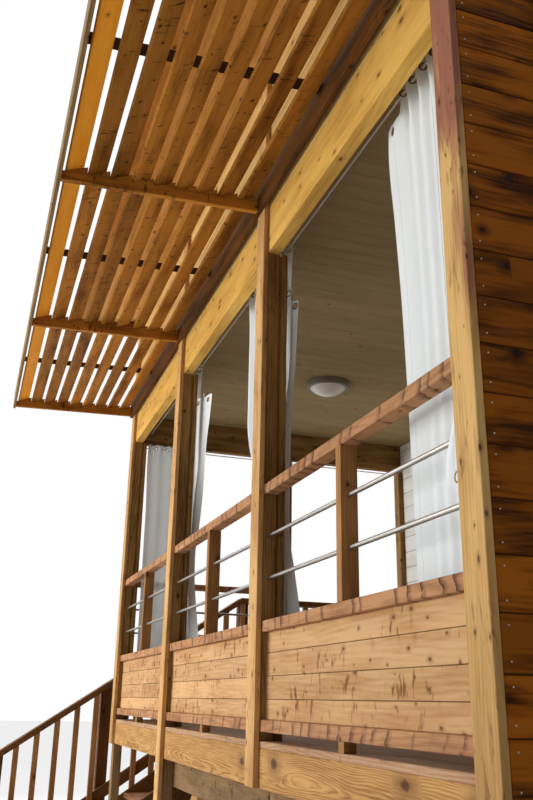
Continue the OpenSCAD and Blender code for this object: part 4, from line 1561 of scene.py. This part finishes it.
@dataclass
class Cloth:
    """A sheet of white cotton with bronze eyelets, from which every curtain is made."""

    eyelet: float = 0.0155
    rim: tuple[float, float] = (0.0032, 0.002)

    def place(self, s: float, t: float) -> Vector:
        """Say where the point at these shares of the sheet's width and drop hangs."""
        raise NotImplementedError

    def hung(
        self,
        names: tuple[str, str],
        size: tuple[int, int, float],
        crowd: int,
        holes: Sequence[tuple[Vector, Vector]],
        carrier: str,
    ) -> None:
        """Args:
            names: Names of the cloth and of its eyelets.
            size: Columns, rows and the length that the sheet was cut to.
            crowd: 1 where the rows are even, and 2 where they crowd towards the head.
            holes: Middle of each eyelet and the direction that the cloth faces there.
            carrier: Node that the sheet hangs from; not used.
        """
        columns, rows, length = size
        bm = bmesh.new()
        uv = bm.loops.layers.uv.new("flat")
        bmesh.ops.create_grid(bm, x_segments=columns, y_segments=rows, size=0.5)
        flat = {v: (v.co.x + 0.5, (0.5 - v.co.y) ** crowd) for v in bm.verts}
        for vert, (s, t) in flat.items():
            vert.co = self.place(s, t)
        width = sum(f.calc_area() for f in bm.faces) / length
        for face in bm.faces:
            for loop in face.loops:
                s, t = flat[loop.vert]
                loop[uv].uv = (s * width, (1 - t) * length)
        steps = [math.tau * k / 8 for k in range(9)]
        ring = [(self.eyelet + self.rim[0] * math.cos(a), self.rim[1] * math.sin(a)) for a in steps]
        rings = []
        for middle, out in holes:
            hole = [f for f in bm.faces if (f.calc_center_median() - middle).length < self.eyelet]
            bmesh.ops.delete(bm, geom=hole, context="FACES")
            rings.append(turned(ring, middle, out, 24))
        bmesh.ops.recalc_face_normals(bm, faces=bm.faces)
        piece = shown(bm, names[0], COTTON, "curtain_cloth", ["curtains"], 180)
        eyelets = shown(joined(rings), names[1], BRONZE, "white_metal", smooth=60)


@dataclass(frozen=True)
class Drop:
    """How one curtain hangs: its folds, how its edges stray on the way down, and where its head sags."""

    folds: int
    left: Run = ((0.0, 0.0),)
    right: Run = ((0.0, 0.0),)
    keep: float = 0.09
    sag: Run = ((0.0, 0.0),)
    ease: Run = ((0.0, 0.0), (1.0, 1.0))


@dataclass
class Curtain(Cloth):
    """One gathered curtain in the box of its solid, on its rod."""

    number: int = 0
    low: Vector = field(default_factory=Vector)
    high: Vector = field(default_factory=Vector)
    rod_z: float = 0.0
    drop: Drop = Drop(1)
    swing: float = 0.031
    settle: float = 0.13
    billow: float = 0.007
    notch: float = 0.03
    hem_gap: float = 0.028
    hem_wave: float = 0.003
    ripples: tuple[float, float, float] = (3.1, 1.6, 7.3)
    lean: float = 0.8
    loose: float = 0.05
    columns: int = 26
    rows: int = 130

    def build(self) -> None:
        """Hang the curtain."""
        fall, count = self.high.z - self.low.z, 2 * self.drop.folds
        down, holes = (self.high.z - self.rod_z) / fall, []
        for s in ((k + 0.5) / count for k in range(count)):
            here, there = (self.place(at, down) for at in (s, s + 0.004))
            holes.append((here, (there - here).cross(Axis.HEIGHT.vector()).normalized()))
        names = (f"curtain_{self.number}", f"eyelets_{self.number}")
        size = (self.drop.folds * self.columns, self.rows, fall - self.hem_gap)
        self.hung(names, size, 2, holes, "curtain_rods")

    def place(self, s: float, t: float) -> Vector:
        """Say where a point of the cloth hangs.

        Args:
            s: Share of the way from the left edge to the right one, or from front to back.
            t: Share of the way from the head to the hem.

        Returns:
            The place.
        """
        low, high, drop = self.low, self.high, self.drop
        sideways = high.x - low.x < high.y - low.y
        start, end, rod_at = (low.y, high.y, low.x) if sideways else (low.x, high.x, (low.y + high.y) / 2)
        start += between(drop.left, t)
        end += between(drop.right, t)
        phase = math.tau * drop.folds * s + math.pi / 2
        ripple = noise.noise(Vector([a * b for a, b in zip((s, t, self.number), self.ripples)]))
        # The folds are deepest at the eyelets, and shallow where the head sags below the rod
        fresh = max(0.0, 1 - t / self.settle) ** 2
        depth = self.swing * (drop.keep + (1 - drop.keep) * fresh)
        slack = between(drop.sag, s)
        if slack > self.loose:
            depth *= between(((self.settle, 0.25), (3 * self.settle, 1.0)), t)
        back = math.sin(phase + self.lean * ripple * t)
        wave = math.sin(2.6 * math.pi * s + 1.7 * self.number + 0.9 * ripple) * min(1.0, 3 * t)
        off = rod_at + depth * back + self.billow * wave * (1 - drop.keep)
        top = high.z - slack - self.notch * max(0.0, back) ** 6 * (1 - drop.keep)
        foot = low.z + self.hem_gap + self.hem_wave * math.sin(phase + 1.0)
        at = start + (end - start) * between(drop.ease, s, soft=False)
        z = top + (foot - top) * t
        return Vector((off, at, z)) if sideways else Vector((at, off, z))


@dataclass
class Flap(Cloth):
    """Loose corner of cloth, with one eyelet, under the right end of the handrail."""

    widths: Run = ((0.0, 0.02), (0.36, 0.07), (0.52, 0.096), (0.7, 0.115), (0.9, 0.119), (1.0, 0.112))
    length: float = 0.345
    lift: float = 0.025
    ruffle: float = 0.004
    inset: tuple[float, float] = (0.006, 0.014)
    hole: tuple[float, float] = (0.4, 0.88)

    def build(self) -> None:
        """Hang the flap."""
        holes = [(self.place(*self.hole), -Axis.DEPTH.vector())]
        self.hung(("curtain_flap", "eyelet_flap"), (36, 90, self.length), 1, holes, "handrails")

    def place(self, s: float, t: float) -> Vector:
        """Say where a point of the flap hangs.

        Args:
            s: Share of the way from the left edge to the right one.
            t: Share of the way from the head to the hem.

        Returns:
            The place.
        """
        low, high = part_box("handrails")
        x = high.x - self.inset[0] - between(self.widths, t) * (1 - s)
        y = low.y + self.inset[1] + self.ruffle * math.sin(9 * s + 5 * t)
        return Vector((x, y, low.z - self.length * t + self.lift * (1 - s) ** 2 * t**6))


@dataclass
class Curtains:
    """White cotton curtains on bronze eyelets, gathered on long white rods."""

    drops: tuple[Drop, ...] = (
        Drop(
            6,
            left=((0.0, 0.0), (0.5, 0.04), (1.0, 0.03)),
            right=((0.0, -0.06), (0.5, -0.08), (1.0, -0.05)),
            keep=0.3,
        ),
        Drop(
            2,
            left=((0.0, -0.1), (1.0, -0.07)),
            right=(
                (0.0, 0.1), (0.06, 0.085), (0.125, 0.04), (0.29, -0.05), (0.44, -0.156), (0.5, -0.21),
                (0.57, -0.2), (0.65, -0.14), (0.77, -0.03), (1.0, 0.08),
            ),
            keep=0.7,
            sag=((0.3, 0.0), (0.36, 0.27), (0.7, 0.28), (0.75, 0.33), (1.0, 0.33)),
            ease=((0.0, 0.0), (0.35, 0.08), (1.0, 1.0)),
        ),
        Drop(
            6,
            left=(
                (0.0, -0.02), (0.34, -0.01), (0.4, 0.035), (0.44, 0.1), (0.5, 0.25), (0.6, 0.36),
                (0.76, 0.28), (1.0, 0.2),
            ),
            right=((0.3, 0.0), (0.5, -0.02), (1.0, 0.0)),
            keep=0.35,
        ),
        Drop(
            2,
            left=((0.0, -0.043), (0.5, -0.068), (1.0, -0.03)),
            right=(
                (0.0, 0.0), (0.156, -0.03), (0.235, -0.08), (0.34, -0.13), (0.45, -0.145),
                (0.555, -0.145), (0.656, -0.075), (0.757, 0.0), (1.0, 0.09),
            ),
            keep=0.7,
            sag=((0.3, 0.0), (0.36, 0.27), (0.6, 0.28), (0.66, 0.38), (1.0, 0.39)),
            ease=((0.0, 0.0), (0.35, 0.12), (1.0, 1.0)),
        ),
        Drop(
            7,
            left=((0.03, -0.02), (0.2, 0.012), (0.4, 0.04), (0.56, 0.055), (1.0, 0.075)),
            sag=((0.0, 0.086), (0.027, 0.106), (0.057, 0.119), (0.083, 0.12), (0.09, 0.1), (0.101, 0.0)),
            ease=((0.0, 0.0), (0.107, 0.232), (1.0, 1.0)),
        ),
    )
    side: Drop = Drop(4, left=((0.0, 0.0), (0.3, 0.018), (1.0, 0.02)), keep=0.35)
    side_span: tuple[float, float] = (0.012, 0.42)
    head: float = 0.038

    def build(self) -> None:
        """Build the rods and the curtains."""
        rods = copy_of("curtain_rods")
        shown(rods, "curtain_rods_coated", WHITE_METAL, "white_metal", ["curtain_rods"], 35)
        foot, top = (corner.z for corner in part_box("curtains"))
        for number, ((low, high), drop) in enumerate(zip(solids_of("curtains"), self.drops), 1):
            Curtain(number=number, low=low, high=high, rod_z=top - self.head, drop=drop).build()
        low, high = next((a, b) for a, b in solids_of("curtain_rods") if b.y - a.y > 1.0)
        x, z = (low.x + high.x) / 2, (low.z + high.z) / 2
        start = Vector((x, low.y + self.side_span[0], foot))
        end = Vector((x, start.y + self.side_span[1], z + self.head))
        Curtain(number=len(self.drops) + 1, low=start, high=end, rod_z=z, drop=self.side).build()
        Flap().build()


@dataclass
class Stair:
    """Side stair between closed stringers, with its landing and rails."""

    def build(self) -> None:
        """Build the stair."""
        Timber("stair_stringers", STAIR_PINE, "dark_wood", ease=0.004).build()
        Timber("stair_treads", RAIL_PINE, "red_wood", ease=0.005, segments=2).build()
        Timber("stair_newels", STAIR_PINE, "dark_wood", ease=0.005, segments=2).build()
        Timber("stair_rails", STAIR_PINE, "red_wood", ease=0.005, segments=2).build()
        Timber("stair_balusters", BALUSTER_PINE, "warm_wood").build()
        Timber("landing_rail", STAIR_PINE, "red_wood", ease=0.004).build()


# ---------------------------------------------------------------- studio


@dataclass(frozen=True)
class Softbox:
    """A square soft light that is aimed at a point."""

    name: str
    place: tuple[float, float, float]
    aim: tuple[float, float, float]
    size: float
    watts: float

    def hang(self) -> None:
        """Hang the light."""
        data = bpy.data.lights.new(self.name, "AREA")
        data.size, data.energy = self.size, self.watts
        lamp = placed(self.name, data)
        lamp.location = self.place
        lamp.rotation_euler = (Vector(self.aim) - Vector(self.place)).to_track_quat("-Z", "Y").to_euler()


@dataclass
class Studio:
    """Camera, pale floor, white surround and soft lights."""

    place: tuple[float, float, float] = (4.9483, -3.6089, 1.5941)
    turn: float = 71.472
    rise: float = 19.482
    roll: float = 1.066
    lens: float = 38.27
    sensor: float = 36.0
    reach: tuple[float, float] = (0.05, 200.0)
    floor_half: float = 60.0
    sky: tuple[str, float] = ("#f4f5f7", 0.3)
    lights: tuple[Softbox, ...] = (
        Softbox("key", (-5.0, -13.0, 3.2), (0.0, -2.0, 3.0), 7.0, 1300.0),
        Softbox("top", (-2.0, -7.0, 12.0), (0.0, -2.0, 4.0), 6.0, 500.0),
        Softbox("side", (-11.0, -0.5, 4.5), (-2.0, -1.0, 3.0), 5.0, 350.0),
    )

    def build(self) -> None:
        """Set up the studio."""
        self.camera()
        self.floor()
        self.surround()
        for light in self.lights:
            light.hang()
        bpy.context.scene.view_settings.view_transform = "Standard"

    def camera(self) -> None:
        """Stand the camera where the photograph was taken from."""
        data = bpy.data.cameras.new("camera")
        data.lens, data.sensor_width, data.sensor_fit = self.lens, self.sensor, "AUTO"
        data.clip_start, data.clip_end = self.reach
        turn, rise, roll = (math.radians(a) for a in (self.turn, self.rise, self.roll))
        ahead = Vector((-math.sin(turn) * math.cos(rise), math.cos(turn) * math.cos(rise), math.sin(rise)))
        right = Vector((math.cos(turn), math.sin(turn), 0.0))
        up = right.cross(ahead)
        side = right * math.cos(roll) + up * math.sin(roll)
        top = up * math.cos(roll) - right * math.sin(roll)
        look = Matrix((side, top, -ahead)).transposed().to_4x4()
        camera = placed("camera", data)
        camera.matrix_world = Matrix.Translation(self.place) @ look
        bpy.context.scene.camera = camera

    def floor(self) -> None:
        """Lay the pale floor."""
        bm = bmesh.new()
        bmesh.ops.create_grid(bm, x_segments=1, y_segments=1, size=self.floor_half)
        mesh = bpy.data.meshes.new("floor")
        bm.to_mesh(mesh)
        bm.free()
        mesh.materials.append(FLOOR.material())
        placed("floor", mesh)

    def surround(self) -> None:
        """Make the surround white to the eye and softer as a light."""
        s = Shader(bpy.data.worlds.new("surround"))
        path = s.add("LightPath").node.outputs
        seen = path["Is Camera Ray"]
        for ray in ("Is Glossy Ray", "Is Transmission Ray"):
            seen = s.add("Math.MAXIMUM", seen, path[ray])
        sky, white = s.add("Background", *self.sky), s.add("Background", "#ffffff", 1.0)
        bpy.context.scene.world = s.finish(s.add("MixShader", seen, sky, white), "World")


def main() -> None:
    """Build the cabin, piece by piece."""
    logging.basicConfig(level=logging.INFO, format="%(name)s: %(message)s")
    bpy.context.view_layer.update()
    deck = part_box("decks")[1].z
    for part in (
        Studio(),
        PorchFront(deck),
        Awning(),
        Parapets(deck),
        DeckFrame(),
        Walls(deck),
        Glazing(),
        Roof(),
        Lamps(),
        Curtains(),
        Stair(),
    ):
        part.build()
    bpy.context.view_layer.update()


if __name__ == "__main__":
    main()
